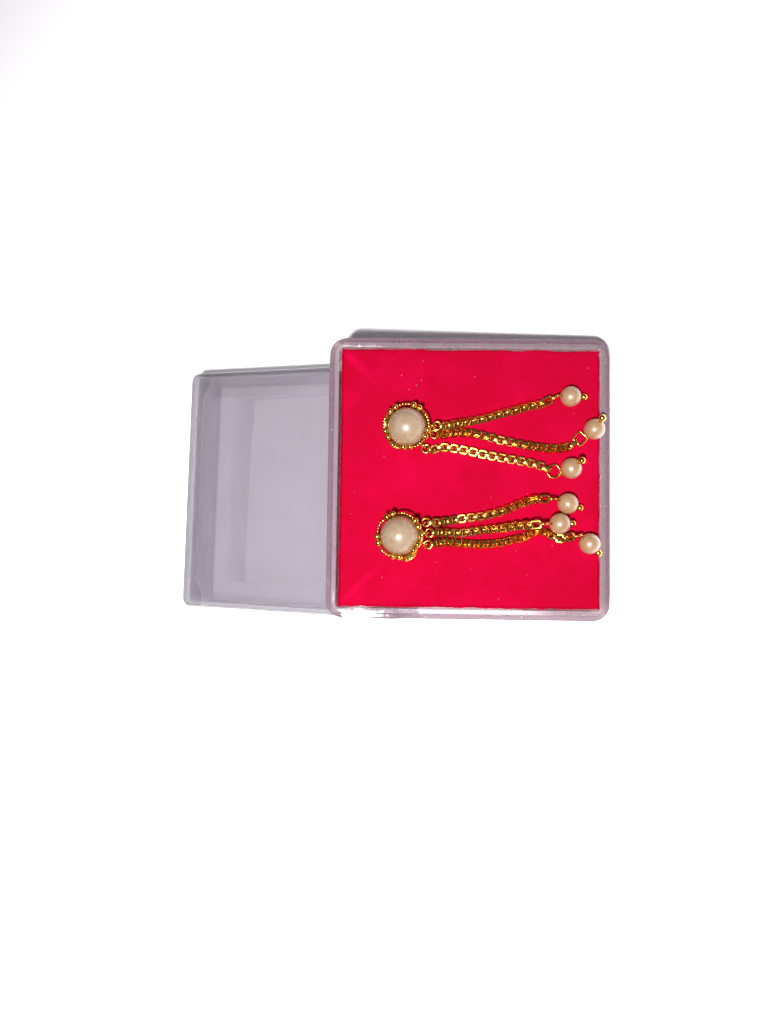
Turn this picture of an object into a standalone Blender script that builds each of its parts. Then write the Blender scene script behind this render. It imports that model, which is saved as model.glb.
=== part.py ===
"""A pair of pearl drop earrings lying on the padded insert of a clear box.

The tray leans on its own lid, which lies on the table. Lengths are metres, +Z is up.
"""

from math import cos, pi, radians, sin, sqrt

import bmesh
import bpy
import numpy as np
from mathutils import Matrix, Vector

MM = 0.001
LAY_UNIT = 1.0 * MM
Z_AXIS = Vector((0, 0, 1))

# Clearances between separate pieces
GAP = 0.3 * MM
CHAIN_GAP = 0.25 * MM
BORE_GAP = 0.2 * MM

# Clear tray
TRAY_SIDE = 65.0 * MM
TRAY_HEIGHT = 16.0 * MM
TRAY_FLOOR = 1.5 * MM
TRAY_CORNER_R = 4.0 * MM
TRAY_FOOT_R = 0.7 * MM
SHELF_WIDTH = 1.05 * MM
LIP_WIDTH = 1.1 * MM
LIP_HEIGHT = 0.8 * MM
CAVITY_CORNER_R = 1.0 * MM
TRAY_TILT = radians(18.49)

# Clear lid, lying with its closed side up
LID_SIDE = 65.0 * MM
LID_HEIGHT = 16.2 * MM
LID_WALL = 1.3 * MM
LID_TOP = 1.5 * MM
LID_CORNER_R = 3.0 * MM
LID_EDGE_R = 0.6 * MM
BEVEL_WIDTH = 7.5 * MM
BEVEL_DROP = 1.9 * MM
LID_YAW = radians(-1.13)
LID_OFFSET_Y = -1.25 * MM

# Flocked pad in the tray
PAD_SIDE_GAP = 0.6 * MM
PAD_BELOW_LIP = 0.6 * MM

# Large pearl, round above and cut flat below
PEARL_R = 4.35 * MM
PEARL_DEPTH = 2.4 * MM

# Flower setting
CUP_WALL = 0.4 * MM
CUP_FLOOR = 0.5 * MM
CUP_RIM_DROP = 0.6 * MM
CLAW_WIRE_R = 0.36 * MM
CLAW_FOOT_DROP = 1.5 * MM
CLAW_RISE = 1.75 * MM
GRANULE_R = 0.58 * MM
GRANULE_RISE = 2.1 * MM
GRANULE_SPREAD = 0.68 * MM
ARCH_WIRE_R = 0.29 * MM
ARCH_RISE = 1.4 * MM
POST_R = 0.4 * MM
POST_LENGTH = 10.0 * MM
EYE_R = 0.8 * MM
EYE_WIRE_R = 0.23 * MM

# Box chain
LINK_PITCH = 1.09 * MM
LINK_WIDTH = 2.0 * MM
BAND = 0.42 * MM
STRIP = 0.95 * MM
FUSE = 0.05 * MM
LAST_LINK = 2.5 * MM
END_RING_R = 0.9 * MM
END_RING_WIRE_R = 0.25 * MM

# Drops
DROP_R = 2.35 * MM
PIN_R = 0.22 * MM
PIN_NECK = 0.65 * MM
HEAD_R = 0.87 * MM

# Where each earring lies on the pad, in layout units from the pad's frame, with its claw and eye
# bearings. An eye row is bearing in degrees, height on the cup in layout units.
EARRINGS = {
    "a": {
        "at": (-14.25, 11.0),
        "tilt": 3.0,
        "tilt_bearing": 150.0,
        "claws": (66.0, 128.0, 197.0, 269.0, 343.0),
        "eyes": ((3.0, 2.6), (-12.0, 1.05), (-47.0, 1.05)),
    },
    "b": {
        "at": (-15.3, -13.7),
        "tilt": 13.0,
        "tilt_bearing": 160.0,
        "claws": (27.0, 112.0, 192.0, 260.0, 324.0),
        "eyes": ((30.0, 1.05), (7.0, 1.05), (-17.0, 1.05)),
    },
}

# Routes of the strands, chosen points in layout units on the pad: x, y and height of the chain's middle
ROUTES = {
    "a1": [(-6.0, 11.4, 2.95), (-3.4, 12.0, 2.6), (-1.4, 12.5, 1.8), (0.6, 13.0, 1.3), (3.8, 13.7, 1.3),
           (6.3, 14.5, 1.3), (10.1, 15.5, 1.3), (13.9, 16.6, 1.3), (16.4, 17.0, 1.5)],
    "a2": [(-6.2, 9.8, 1.3), (-3.0, 10.1, 1.3), (0.0, 10.1, 1.3), (3.4, 9.45, 1.3), (7.6, 8.5, 1.3),
           (12.0, 7.6, 1.3), (15.9, 7.0, 1.3), (18.8, 6.7, 1.3), (21.6, 7.0, 1.3)],
    "a3": [(-8.6, 6.2, 1.3), (-6.6, 6.8, 1.3), (-4.3, 6.7, 1.3), (0.0, 6.0, 1.3), (3.8, 5.2, 1.3),
           (7.9, 4.5, 1.3), (12.2, 3.75, 1.3), (15.6, 3.0, 1.3)],
    "b1": [(-7.0, -10.5, 2.8), (-4.8, -10.1, 1.8), (-2.6, -9.7, 1.3), (-0.5, -9.3, 1.3), (3.7, -8.7, 1.3),
           (8.1, -7.4, 1.3), (10.2, -6.5, 1.3), (12.1, -5.7, 1.3), (14.9, -4.8, 1.5)],
    "b2": [(-6.6, -12.7, 2.7), (-4.4, -12.7, 1.7), (-1.8, -12.7, 1.3), (3.6, -11.9, 1.3), (6.4, -11.6, 1.5),
           (9.4, -11.2, 2.5), (12.0, -10.9, 3.4)],
    "b3": [(-6.8, -15.2, 2.6), (-4.6, -15.0, 1.6), (-2.2, -15.2, 1.3), (2.1, -15.4, 1.3), (5.5, -15.2, 1.3),
           (8.0, -14.8, 1.3), (10.3, -14.1, 1.3), (12.2, -13.8, 1.3), (13.9, -12.9, 1.3),
           (15.6, -12.1, 1.3), (17.5, -12.5, 1.3), (19.2, -13.3, 1.3), (21.2, -13.7, 1.4)],
}

# How far each strand is rolled about its own line, in degrees, at even steps from setting to drop
ROLLS = {
    "a1": (8.0, 28.0, 30.0, 35.0),
    "a2": (-20.0, -22.0, 6.0, -28.0, -32.0),
    "a3": (18.0, 20.0, 5.0, 0.0),
    "b1": (0.0, 4.0, 18.0, 34.0, 38.0),
    "b2": (4.0, 15.0, 36.0, 22.0),
    "b3": (-6.0, -28.0, -30.0, -34.0, 30.0),
}

# Drops: pearl's place on the pad and its height above lying on it, the bearing and rise of the ball
# head in degrees, the radius of the eye loop, and for a loop that lies flat its place on the pad and
# the bearing of the last link. Lengths are in layout units.
DROPS = {
    "a1": {"at": (22.8, 18.6), "lift": 0.0, "head": (1.0, -16.0), "loop": 1.25},
    "a2": {"at": (28.2, 11.2), "lift": 0.0, "head": (62.0, 42.0), "loop": 1.5, "lies": (25.2, 9.2), "hook": 222.0},
    "a3": {"at": (23.0, 2.2), "lift": 0.0, "head": (41.0, 44.0), "loop": 1.5, "lies": (19.25, 1.6), "hook": 161.0},
    "b1": {"at": (22.2, -5.8), "lift": 0.0, "head": (-17.0, -20.0), "loop": 1.25},
    "b2": {"at": (20.25, -10.4), "lift": 0.9, "head": (2.0, -22.0), "loop": 1.25},
    "b3": {"at": (27.1, -14.8), "lift": 0.0, "head": (-43.0, -20.0), "loop": 1.25},
}

# Roundness
CORNER_STEPS = 2
CUP_SIDES = 12
CUP_RINGS = 2
ARCH_STEPS = 3
CABOCHON_SIDES = 16
CABOCHON_RINGS = 5
BEAD_SIDES = 12
BEAD_RINGS = 5
GRANULE_SIDES = 10
GRANULE_RINGS = 4
RING_SIDES = 10
RING_WIRE_SIDES = 5
POST_SIDES = 8
ROUTE_SAMPLES = 40
SMOOTH_BELOW = radians(35)

# Colours of the plain model: red, green, blue
CLEAR_PLASTIC = (0.72, 0.66, 0.72)
RED_FLOCK = (0.76, 0.0, 0.06)
GOLD = (0.78, 0.50, 0.14)
CREAM_PEARL = (0.80, 0.68, 0.55)
TAN_PEARL = (0.75, 0.55, 0.36)

# Sizes that follow from the ones above
TRAY_HALF = TRAY_SIDE / 2
CAVITY_HALF = TRAY_HALF - SHELF_WIDTH - LIP_WIDTH
PAD_TOP = TRAY_HEIGHT - PAD_BELOW_LIP
PAD_BOTTOM = TRAY_FLOOR + GAP
PAD_SIDE = 2 * (CAVITY_HALF - PAD_SIDE_GAP)
PAD_SHIFT = PAD_SIDE_GAP - GAP
CUP_INNER_R = PEARL_R + GAP
CUP_OUTER_R = CUP_INNER_R + CUP_WALL
PEARL_Z = CUP_FLOOR + GAP + PEARL_DEPTH
CUP_FOOT_R = sqrt(CUP_OUTER_R**2 - PEARL_Z**2)
SOLDER_R = CUP_OUTER_R - CUP_WALL / 4
GRANULE_REACH = PEARL_R + GRANULE_R + CHAIN_GAP / 2
POST_HOLE_R = POST_R + GAP
DROP_BORE_R = PIN_R + BORE_GAP
HEAD_OFFSET = (
    sqrt(DROP_R**2 - DROP_BORE_R**2) + sqrt(HEAD_R**2 - DROP_BORE_R**2) + BORE_GAP
)
NECK_OFFSET = DROP_R + PIN_NECK


def clear_scene():
    for item in list(bpy.data.objects):
        bpy.data.objects.remove(item)


def make_collection(name):
    group = bpy.data.collections.new(name)
    bpy.context.scene.collection.children.link(group)
    return group


def make_material(name, rgb, metallic, roughness, alpha=1.0):
    material = bpy.data.materials.new(name)
    material.use_nodes = True
    shader = material.node_tree.nodes["Principled BSDF"]
    shader.inputs["Base Color"].default_value = (*rgb, 1.0)
    shader.inputs["Metallic"].default_value = metallic
    shader.inputs["Roughness"].default_value = roughness
    shader.inputs["Alpha"].default_value = alpha
    return material


def new_object(name, mesh, group, material=None, parent=None):
    item = bpy.data.objects.new(name, mesh)
    group.objects.link(item)
    item.parent = parent
    if material:
        mesh.materials.clear()
        mesh.materials.append(material)
    return item


def mesh_from(bm, name):
    bmesh.ops.recalc_face_normals(bm, faces=bm.faces[:])
    mesh = bpy.data.meshes.new(name)
    bm.to_mesh(mesh)
    bm.free()
    return mesh


def smooth_round(mesh):
    mesh.shade_smooth()
    mesh.set_sharp_from_angle(angle=SMOOTH_BELOW)


def evaluated_mesh(item):
    """The mesh of an object with its modifiers applied and its doubled points welded."""
    bpy.context.view_layer.update()
    graph = bpy.context.evaluated_depsgraph_get()
    mesh = bpy.data.meshes.new_from_object(item.evaluated_get(graph))
    bm = bmesh.new()
    bm.from_mesh(mesh)
    bmesh.ops.remove_doubles(bm, verts=bm.verts[:], dist=0.0001 * MM)
    bm.to_mesh(mesh)
    bm.free()
    return mesh


def boolean(item, operation, tool=None, tools=None):
    modifier = item.modifiers.new(operation.title(), "BOOLEAN")
    modifier.operation = operation
    modifier.solver = "EXACT"
    if tools:
        modifier.operand_type = "COLLECTION"
        modifier.collection = tools
    else:
        modifier.object = tool
    return modifier


def fuse(name, body, pieces, group, material, parent):
    """One solid from a body mesh and a list of meshes that overlap it."""
    tools = make_collection(name + "_pieces")
    for number, mesh in enumerate(pieces):
        new_object(f"{name}_piece_{number}", mesh, tools)
    whole = new_object(name + "_body", body, tools)
    tools.objects.unlink(whole)
    group.objects.link(whole)
    boolean(whole, "UNION", tools=tools)
    mesh = evaluated_mesh(whole)
    for item in list(tools.objects) + [whole]:
        bpy.data.objects.remove(item)
    bpy.data.collections.remove(tools)
    smooth_round(mesh)
    return new_object(name, mesh, group, material, parent)


def rounded_square(half, corner_r, z):
    """Points of one level section, anticlockwise from the +X side."""
    centre = half - corner_r
    points = []
    for quarter in range(4):
        turn = quarter * pi / 2
        for step in range(CORNER_STEPS + 1):
            angle = turn + step * pi / (2 * CORNER_STEPS)
            middle = Vector((centre, centre, 0))
            middle.rotate(Matrix.Rotation(turn, 3, "Z"))
            points.append(middle + Vector((corner_r * cos(angle), corner_r * sin(angle), z)))
    return points


def square_loft(name, sections):
    """A closed solid through rounded squares: half side, corner radius and height of each."""
    bm = bmesh.new()
    rings = [[bm.verts.new(p) for p in rounded_square(*section)] for section in sections]
    count = len(rings[0])
    for lower, upper in zip(rings, rings[1:]):
        for i in range(count):
            j = (i + 1) % count
            bm.faces.new((lower[i], lower[j], upper[j], upper[i]))
    bm.faces.new(rings[0][::-1])
    bm.faces.new(rings[-1])
    return mesh_from(bm, name)


def hollow(name, outer, inner, group, cutters, material, parent):
    """A shell: the outer loft with the inner loft cut out of it."""
    shell = new_object(name, square_loft(name, outer), group, material, parent)
    cutter = new_object(name + "_hollow", square_loft(name + "_hollow", inner), cutters, None, parent)
    show_as_cutter(cutter)
    boolean(shell, "DIFFERENCE", cutter)
    return shell


def show_as_cutter(item):
    item.hide_render = True
    item.display_type = "WIRE"


def turned(name, profile, steps, closed=False):
    """A solid of revolution about Z from (radius, height) points listed from top to bottom."""
    mesh = bpy.data.meshes.new(name + "_profile")
    count = len(profile)
    edges = [(i, i + 1) for i in range(count - 1)]
    if closed:
        edges.append((count - 1, 0))
    mesh.from_pydata([(r, 0, z) for r, z in profile], edges, [])
    item = new_object(name + "_turned", mesh, bpy.context.scene.collection)
    screw = item.modifiers.new("Screw", "SCREW")
    screw.steps = steps
    screw.render_steps = steps
    screw.use_merge_vertices = True
    screw.merge_threshold = 0.001 * MM
    screw.use_normal_calculate = True
    solid = evaluated_mesh(item)
    bpy.data.objects.remove(item)
    return oriented(solid)


def oriented(mesh):
    bm = bmesh.new()
    bm.from_mesh(mesh)
    bmesh.ops.recalc_face_normals(bm, faces=bm.faces[:])
    bm.to_mesh(mesh)
    bm.free()
    return mesh


def sphere_arc(radius, z_from, z_to, steps, centre_z=0.0):
    """Profile points on a sphere between two heights above its centre."""
    start = np.arccos(np.clip(z_from / radius, -1, 1))
    end = np.arccos(np.clip(z_to / radius, -1, 1))
    angles = np.linspace(start, end, steps + 1)
    return [(radius * sin(a), centre_z + radius * cos(a)) for a in angles]


def ball(name, centre, radius):
    bm = bmesh.new()
    bmesh.ops.create_uvsphere(
        bm, u_segments=GRANULE_SIDES, v_segments=GRANULE_RINGS, radius=radius,
        matrix=Matrix.Translation(centre),
    )
    return mesh_from(bm, name)


def rod(name, start, end, radius, sides):
    """A capped cylinder between two points."""
    axis = end - start
    turn = axis.to_track_quat("Z", "Y").to_matrix().to_4x4()
    bm = bmesh.new()
    bmesh.ops.create_cone(
        bm, cap_ends=True, segments=sides, radius1=radius, radius2=radius, depth=axis.length,
        matrix=Matrix.Translation((start + end) / 2) @ turn,
    )
    return mesh_from(bm, name)


def ring(name, centre, normal, radius, wire_r, first):
    """A round wire ring whose first point lies from the centre towards first."""
    turn = frame_matrix(centre, first, normal)
    bpy.ops.mesh.primitive_torus_add(
        major_radius=radius, minor_radius=wire_r,
        major_segments=RING_SIDES, minor_segments=RING_WIRE_SIDES,
    )
    item = bpy.context.object
    mesh = item.data
    bpy.data.objects.remove(item)
    mesh.transform(turn)
    mesh.name = name
    return oriented(mesh)


def wire(name, points, radius):
    """A four-sided wire through a list of points, closed at both ends."""
    curve = bpy.data.curves.new(name, "CURVE")
    curve.dimensions = "3D"
    curve.bevel_depth = radius
    curve.bevel_resolution = 0
    curve.use_fill_caps = True
    spline = curve.splines.new("POLY")
    spline.points.add(len(points) - 1)
    for slot, point in zip(spline.points, points):
        slot.co = (*point, 1.0)
    item = bpy.data.objects.new(name, curve)
    bpy.context.scene.collection.objects.link(item)
    mesh = evaluated_mesh(item)
    bpy.data.objects.remove(item)
    return oriented(mesh)


def frame_matrix(centre, x_axis, z_axis):
    """A frame at a centre with its X along x_axis and its Z as near to z_axis as it can be."""
    x = x_axis.normalized()
    z = (z_axis - z_axis.dot(x) * x).normalized()
    y = z.cross(x)
    return Matrix.Translation(centre) @ Matrix((x, y, z)).transposed().to_4x4()


def polar(radius, bearing, z=0.0):
    return Vector((radius * cos(radians(bearing)), radius * sin(radians(bearing)), z))


def smooth_route(points):
    """A dense smooth curve through the points, and the distance along it to each of its points."""
    padded = [2 * points[0] - points[1]] + points + [2 * points[-1] - points[-2]]
    dense = []
    for p0, p1, p2, p3 in zip(padded, padded[1:], padded[2:], padded[3:]):
        for step in range(ROUTE_SAMPLES):
            t = step / ROUTE_SAMPLES
            dense.append(
                p1
                + (p2 - p0) * (t / 2)
                + (2 * p0 - 5 * p1 + 4 * p2 - p3) * (t**2 / 2)
                + (3 * p1 - p0 - 3 * p2 + p3) * (t**3 / 2)
            )
    dense.append(points[-1])
    places = np.array([tuple(p) for p in dense])
    along = np.concatenate([[0.0], np.cumsum(np.linalg.norm(np.diff(places, axis=0), axis=1))])
    return places, along


def point_along(route, distance):
    places, along = route
    return Vector([float(np.interp(distance, along, places[:, axis])) for axis in range(3)])


def make_tray(group, cutters, material, tray):
    shelf_z = TRAY_HEIGHT - LIP_HEIGHT
    lip_half = TRAY_HALF - SHELF_WIDTH
    lip_r = TRAY_CORNER_R - SHELF_WIDTH
    outer = [
        (TRAY_HALF - TRAY_FOOT_R, TRAY_CORNER_R - TRAY_FOOT_R, 0.0),
        (TRAY_HALF, TRAY_CORNER_R, TRAY_FOOT_R),
        (TRAY_HALF, TRAY_CORNER_R, shelf_z),
        (lip_half, lip_r, shelf_z),
        (lip_half, lip_r, TRAY_HEIGHT),
    ]
    inner = [
        (CAVITY_HALF, CAVITY_CORNER_R, TRAY_FLOOR),
        (CAVITY_HALF, CAVITY_CORNER_R, TRAY_HEIGHT + LIP_HEIGHT),
    ]
    return hollow("box_base", outer, inner, group, cutters, material, tray)


def make_lid(group, cutters, material, lid):
    half = LID_SIDE / 2
    shoulder_z = LID_HEIGHT - BEVEL_DROP
    inner_half = half - LID_WALL
    inner_r = LID_CORNER_R - LID_WALL
    outer = [
        (half, LID_CORNER_R, 0.0),
        (half, LID_CORNER_R, shoulder_z - LID_EDGE_R),
        (half - LID_EDGE_R, LID_CORNER_R - LID_EDGE_R, shoulder_z),
        (half - BEVEL_WIDTH, LID_CORNER_R, LID_HEIGHT),
    ]
    inner = [
        (inner_half, inner_r, -LID_WALL),
        (inner_half, inner_r, shoulder_z - LID_TOP),
        (half - BEVEL_WIDTH, inner_r, LID_HEIGHT - LID_TOP),
    ]
    return hollow("box_lid", outer, inner, group, cutters, material, lid)


def make_pad(group, cutters, material, pad_frame, settings):
    half = PAD_SIDE / 2
    depth = PAD_TOP - PAD_BOTTOM
    bm = bmesh.new()
    bmesh.ops.create_cube(bm, size=1.0)
    size = Matrix.Diagonal((2 * half, 2 * half, depth, 1.0))
    bm.transform(Matrix.Translation((PAD_SHIFT, 0, -depth / 2)) @ size)
    pad = new_object("insert_pad", mesh_from(bm, "insert_pad"), group, material, pad_frame)
    for name, place in settings.items():
        bore = rod(name, Vector((0, 0, POST_R)), Vector((0, 0, -POST_LENGTH - GAP)), POST_HOLE_R, BEAD_SIDES)
        cutter = new_object(f"post_hole_{name}", bore, cutters, None, pad_frame)
        cutter.matrix_basis = place
        show_as_cutter(cutter)
        boolean(pad, "DIFFERENCE", cutter)
    return pad


def setting_place(earring):
    """Where the setting's own frame lies on the pad, tilted and lifted so that its foot clears it."""
    tilt = radians(earring["tilt"])
    axis = Matrix.Rotation(radians(earring["tilt_bearing"]) + pi / 2, 3, "Z") @ Vector((1, 0, 0))
    lift = GAP + CUP_FOOT_R * sin(tilt)
    x, y = earring["at"]
    return Matrix.Translation((x * LAY_UNIT, y * LAY_UNIT, lift)) @ Matrix.Rotation(tilt, 4, axis)


def eye_centre(bearing, height):
    wall_r = sqrt(CUP_OUTER_R**2 - (PEARL_Z - height) ** 2)
    return polar(wall_r + EYE_R, bearing, height)


def make_setting(name, earring, place, group, material, pad_frame):
    """Cup, claws with granules, arches, chain eyes and ear post as one soldered solid."""
    cup_rim = -CUP_RIM_DROP
    outer = sphere_arc(CUP_OUTER_R, cup_rim, -PEARL_Z, CUP_RINGS, PEARL_Z)
    inner = sphere_arc(CUP_INNER_R, CUP_FLOOR - PEARL_Z, cup_rim, CUP_RINGS, PEARL_Z)
    profile = outer + [(0.0, 0.0), (0.0, CUP_FLOOR)] + inner
    cup = turned(name + "_cup", profile, CUP_SIDES, closed=True)
    post_top = Vector((0, 0, CUP_FLOOR / 2))
    pieces = [rod("post", post_top, Vector((0, 0, -POST_LENGTH)), POST_R, POST_SIDES)]
    claws = earring["claws"]
    for bearing in claws:
        pieces.append(make_claw(bearing))
        pieces.extend(make_granules(bearing))
    for start, end in zip(claws, claws[1:] + claws[:1]):
        pieces.append(make_arch(start, end))
    for bearing, height in earring["eyes"]:
        out = polar(1.0, bearing)
        side = Z_AXIS.cross(out)
        pieces.append(ring("eye", eye_centre(bearing, height * LAY_UNIT), side, EYE_R, EYE_WIRE_R, out))
    setting = fuse(name, cup, pieces, group, material, pad_frame)
    setting.matrix_basis = place
    return setting


def make_claw(bearing):
    """A prong from the cup's wall up to its granules."""
    foot = polar(SOLDER_R, bearing, PEARL_Z - CLAW_FOOT_DROP)
    waist = polar(CUP_OUTER_R, bearing, PEARL_Z)
    neck = polar(SOLDER_R, bearing, PEARL_Z + CLAW_RISE / 2)
    tip_r = sqrt(GRANULE_REACH**2 - GRANULE_RISE**2) + CLAW_WIRE_R / 2
    tip = polar(tip_r, bearing, PEARL_Z + CLAW_RISE)
    return wire("claw", [foot, waist, neck, tip], CLAW_WIRE_R)


def make_granules(bearing):
    """Two balls side by side at the tip of a claw, clear of the pearl."""
    reach = sqrt(GRANULE_REACH**2 - GRANULE_RISE**2 - GRANULE_SPREAD**2)
    side = polar(GRANULE_SPREAD, bearing + 90)
    centre = polar(reach, bearing, PEARL_Z + GRANULE_RISE)
    return [ball("granule", centre + side, GRANULE_R), ball("granule", centre - side, GRANULE_R)]


def make_arch(start, end):
    """The wire that rises and falls from one claw to the next."""
    span = (end - start) % 360
    points = []
    for step in range(ARCH_STEPS + 1):
        share = step / ARCH_STEPS
        rise = ARCH_RISE * sin(pi * share)
        points.append(polar(SOLDER_R, start + span * share, PEARL_Z + rise - CUP_RIM_DROP / 2))
    return wire("arch", points, ARCH_WIRE_R)


def make_cabochon(name, place, group, material, pad_frame):
    """The large pearl: a ball cut flat where it sits on the cup's floor."""
    profile = sphere_arc(PEARL_R, PEARL_R, -PEARL_DEPTH, CABOCHON_RINGS, PEARL_Z)
    profile[0] = (0.0, PEARL_Z + PEARL_R)
    profile.append((0.0, PEARL_Z - PEARL_DEPTH))
    mesh = turned(name, profile, CABOCHON_SIDES)
    smooth_round(mesh)
    pearl = new_object(name, mesh, group, material, pad_frame)
    pearl.matrix_basis = place
    return pearl


def drop_frame(key):
    """Places and directions of one drop: pearl, pin, eye loop and the chain's last link."""
    drop = DROPS[key]
    x, y = drop["at"]
    centre = Vector((x * LAY_UNIT, y * LAY_UNIT, GAP + DROP_R + drop["lift"] * LAY_UNIT))
    bearing, rise = drop["head"]
    outward = polar(cos(radians(rise)), bearing, sin(radians(rise)))
    neck = centre - NECK_OFFSET * outward
    loop_r = drop["loop"] * LAY_UNIT
    flat = "lies" in drop
    if flat:
        normal = Z_AXIS
        hook = polar(1.0, drop["hook"])
        x, y = drop["lies"]
        middle = Vector((x * LAY_UNIT, y * LAY_UNIT, GAP + LINK_WIDTH / 2))
    else:
        target = Vector(ROUTES[key][-1]) * LAY_UNIT
        level = Vector((target.x - neck.x, target.y - neck.y, 0)).normalized()
        normal = level.cross(Z_AXIS)
        inward = across(normal, -outward)
        middle = neck + loop_r * (inward + across(normal, target - neck)).normalized()
        hook = across(normal, target - middle)
    reach = LAST_LINK / 2 - BAND - CHAIN_GAP - PIN_R
    return {
        "centre": centre,
        "outward": outward,
        "neck": neck,
        "middle": middle,
        "loop_r": loop_r,
        "normal": normal,
        "hook": hook,
        "last": middle + (loop_r + reach) * hook,
        "flat": flat,
    }


def across(normal, direction):
    """The unit part of a direction that lies square to a normal."""
    return (direction - direction.dot(normal) * normal).normalized()


def make_drop(key, group, gold, pearl_material, pad_frame):
    """A pearl bored through, and the pin in its bore with an eye loop at one end and a ball at the other."""
    place = drop_frame(key)
    centre = place["centre"]
    outward = place["outward"]
    top = sqrt(DROP_R**2 - DROP_BORE_R**2)
    profile = sphere_arc(DROP_R, top, -top, BEAD_RINGS)
    bead = turned(f"drop_pearl_{key}", profile, BEAD_SIDES, closed=True)
    bead.transform(frame_matrix(centre, outward.orthogonal(), outward))
    smooth_round(bead)
    new_object(f"drop_pearl_{key}", bead, group, pearl_material, pad_frame)
    head_centre = centre + HEAD_OFFSET * outward
    middle = place["middle"]
    loop = ring("loop", middle, place["normal"], place["loop_r"], PIN_R, place["hook"])
    start = middle + place["loop_r"] * across(place["normal"], place["neck"] - middle)
    shaft = wire("shaft", [start, place["neck"], head_centre], PIN_R)
    pieces = [loop, ball("head", head_centre, HEAD_R)]
    fuse(f"drop_pin_{key}", shaft, pieces, group, gold, pad_frame)


def link_mesh(length):
    """One square link of flat strip: x along the chain, y across, z the strip's width."""
    bm = bmesh.new()
    bmesh.ops.create_cube(bm, size=1.0)
    bm.transform(Matrix.Diagonal((length, LINK_WIDTH, STRIP, 1.0)))
    flat = [f for f in bm.faces if abs(f.normal.z) > 0.5]
    bmesh.ops.delete(bm, geom=flat, context="FACES_ONLY")
    band = bpy.data.meshes.new("band")
    bm.to_mesh(band)
    bm.free()
    item = new_object("link", band, bpy.context.scene.collection)
    solidify = item.modifiers.new("Solidify", "SOLIDIFY")
    solidify.thickness = BAND
    solidify.offset = -1.0
    solidify.use_even_offset = True
    mesh = evaluated_mesh(item)
    bpy.data.objects.remove(item)
    return oriented(mesh)


def joined(name, meshes):
    bm = bmesh.new()
    for mesh in meshes:
        bm.from_mesh(mesh)
    whole = bpy.data.meshes.new(name)
    bm.to_mesh(whole)
    bm.free()
    return whole


def roll_at(key, share):
    """How far a strand is rolled at a share of its length."""
    rolls = ROLLS[key]
    return radians(float(np.interp(share * (len(rolls) - 1), range(len(rolls)), rolls)))


def make_strand(key, earring, place, eye, group, material, pad_frame):
    """One strand: a round end ring in the setting's eye, box links, and a long link round the loop."""
    drop = drop_frame(key)
    bearing, height = eye
    turn = place.to_3x3()
    out = turn @ polar(1.0, bearing)
    normal = turn @ Z_AXIS
    eye_point = place @ eye_centre(bearing, height * LAY_UNIT)
    first = eye_point + out * (END_RING_R + EYE_WIRE_R / 2)
    points = [first] + [Vector(p) * LAY_UNIT for p in ROUTES[key]] + [drop["last"]]
    route = smooth_route(points)
    length = route[1][-1]
    ring_hole = END_RING_R - END_RING_WIRE_R
    ends = ring_hole + LAST_LINK / 2 - BAND + FUSE
    count = 2 * round((length - ends) / LINK_PITCH / 2)
    if not drop["flat"]:
        count += 1
    pitch = (length - ends) / count
    link_length = pitch + 2 * BAND - FUSE
    start = ring_hole + link_length / 2 - BAND + FUSE
    link = link_mesh(link_length)
    rows = ([ring("end", first, normal, END_RING_R, END_RING_WIRE_R, out)], [])
    for number in range(count):
        at = start + number * pitch
        along = point_along(route, at + pitch / 2) - point_along(route, at - pitch / 2)
        side = Z_AXIS.cross(along).normalized()
        side.rotate(Matrix.Rotation(roll_at(key, at / length), 3, along))
        upright = number % 2 == 0
        strip_axis = side if upright else along.cross(side)
        piece = link.copy()
        piece.transform(frame_matrix(point_along(route, at), along, strip_axis))
        rows[(number + 1) % 2].append(piece)
    last = link_mesh(LAST_LINK)
    last.transform(frame_matrix(drop["last"], drop["hook"], drop["normal"].cross(drop["hook"])))
    rows[(count + 1) % 2].append(last)
    name = f"chain_{key}"
    return fuse(name, joined(name, rows[0]), [joined(name, rows[1])], group, material, pad_frame)


def world_points(item):
    mesh = evaluated_mesh(item)
    return [item.matrix_world @ v.co for v in mesh.vertices]


def slide_lid_under(tray, lid, base, lid_shell):
    """Set the tray's lowest edge on the table and slide the lid up to its underside."""
    tray.rotation_euler = (0, TRAY_TILT, 0)
    bpy.context.view_layer.update()
    tray.location.z = -min(p.z for p in world_points(base))
    lid.rotation_euler = (0, 0, LID_YAW)
    lid.location = (-TRAY_SIDE, LID_OFFSET_Y, 0)
    bpy.context.view_layer.update()
    normal = Vector((sin(TRAY_TILT), 0, cos(TRAY_TILT)))
    under = normal.dot(tray.location) - GAP
    highest = max(normal.dot(p) for p in world_points(lid_shell))
    lid.location.x += (under - highest) / normal.x


def centre_on_origin(root, pieces):
    """Put the middle of the whole footprint on the origin."""
    bpy.context.view_layer.update()
    points = [p for item in pieces for p in world_points(item)]
    for axis in range(2):
        values = [p[axis] for p in points]
        root.location[axis] -= (min(values) + max(values)) / 2
    bpy.context.view_layer.update()


def make_empty(name, group, parent=None):
    item = bpy.data.objects.new(name, None)
    group.objects.link(item)
    item.parent = parent
    return item


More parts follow.
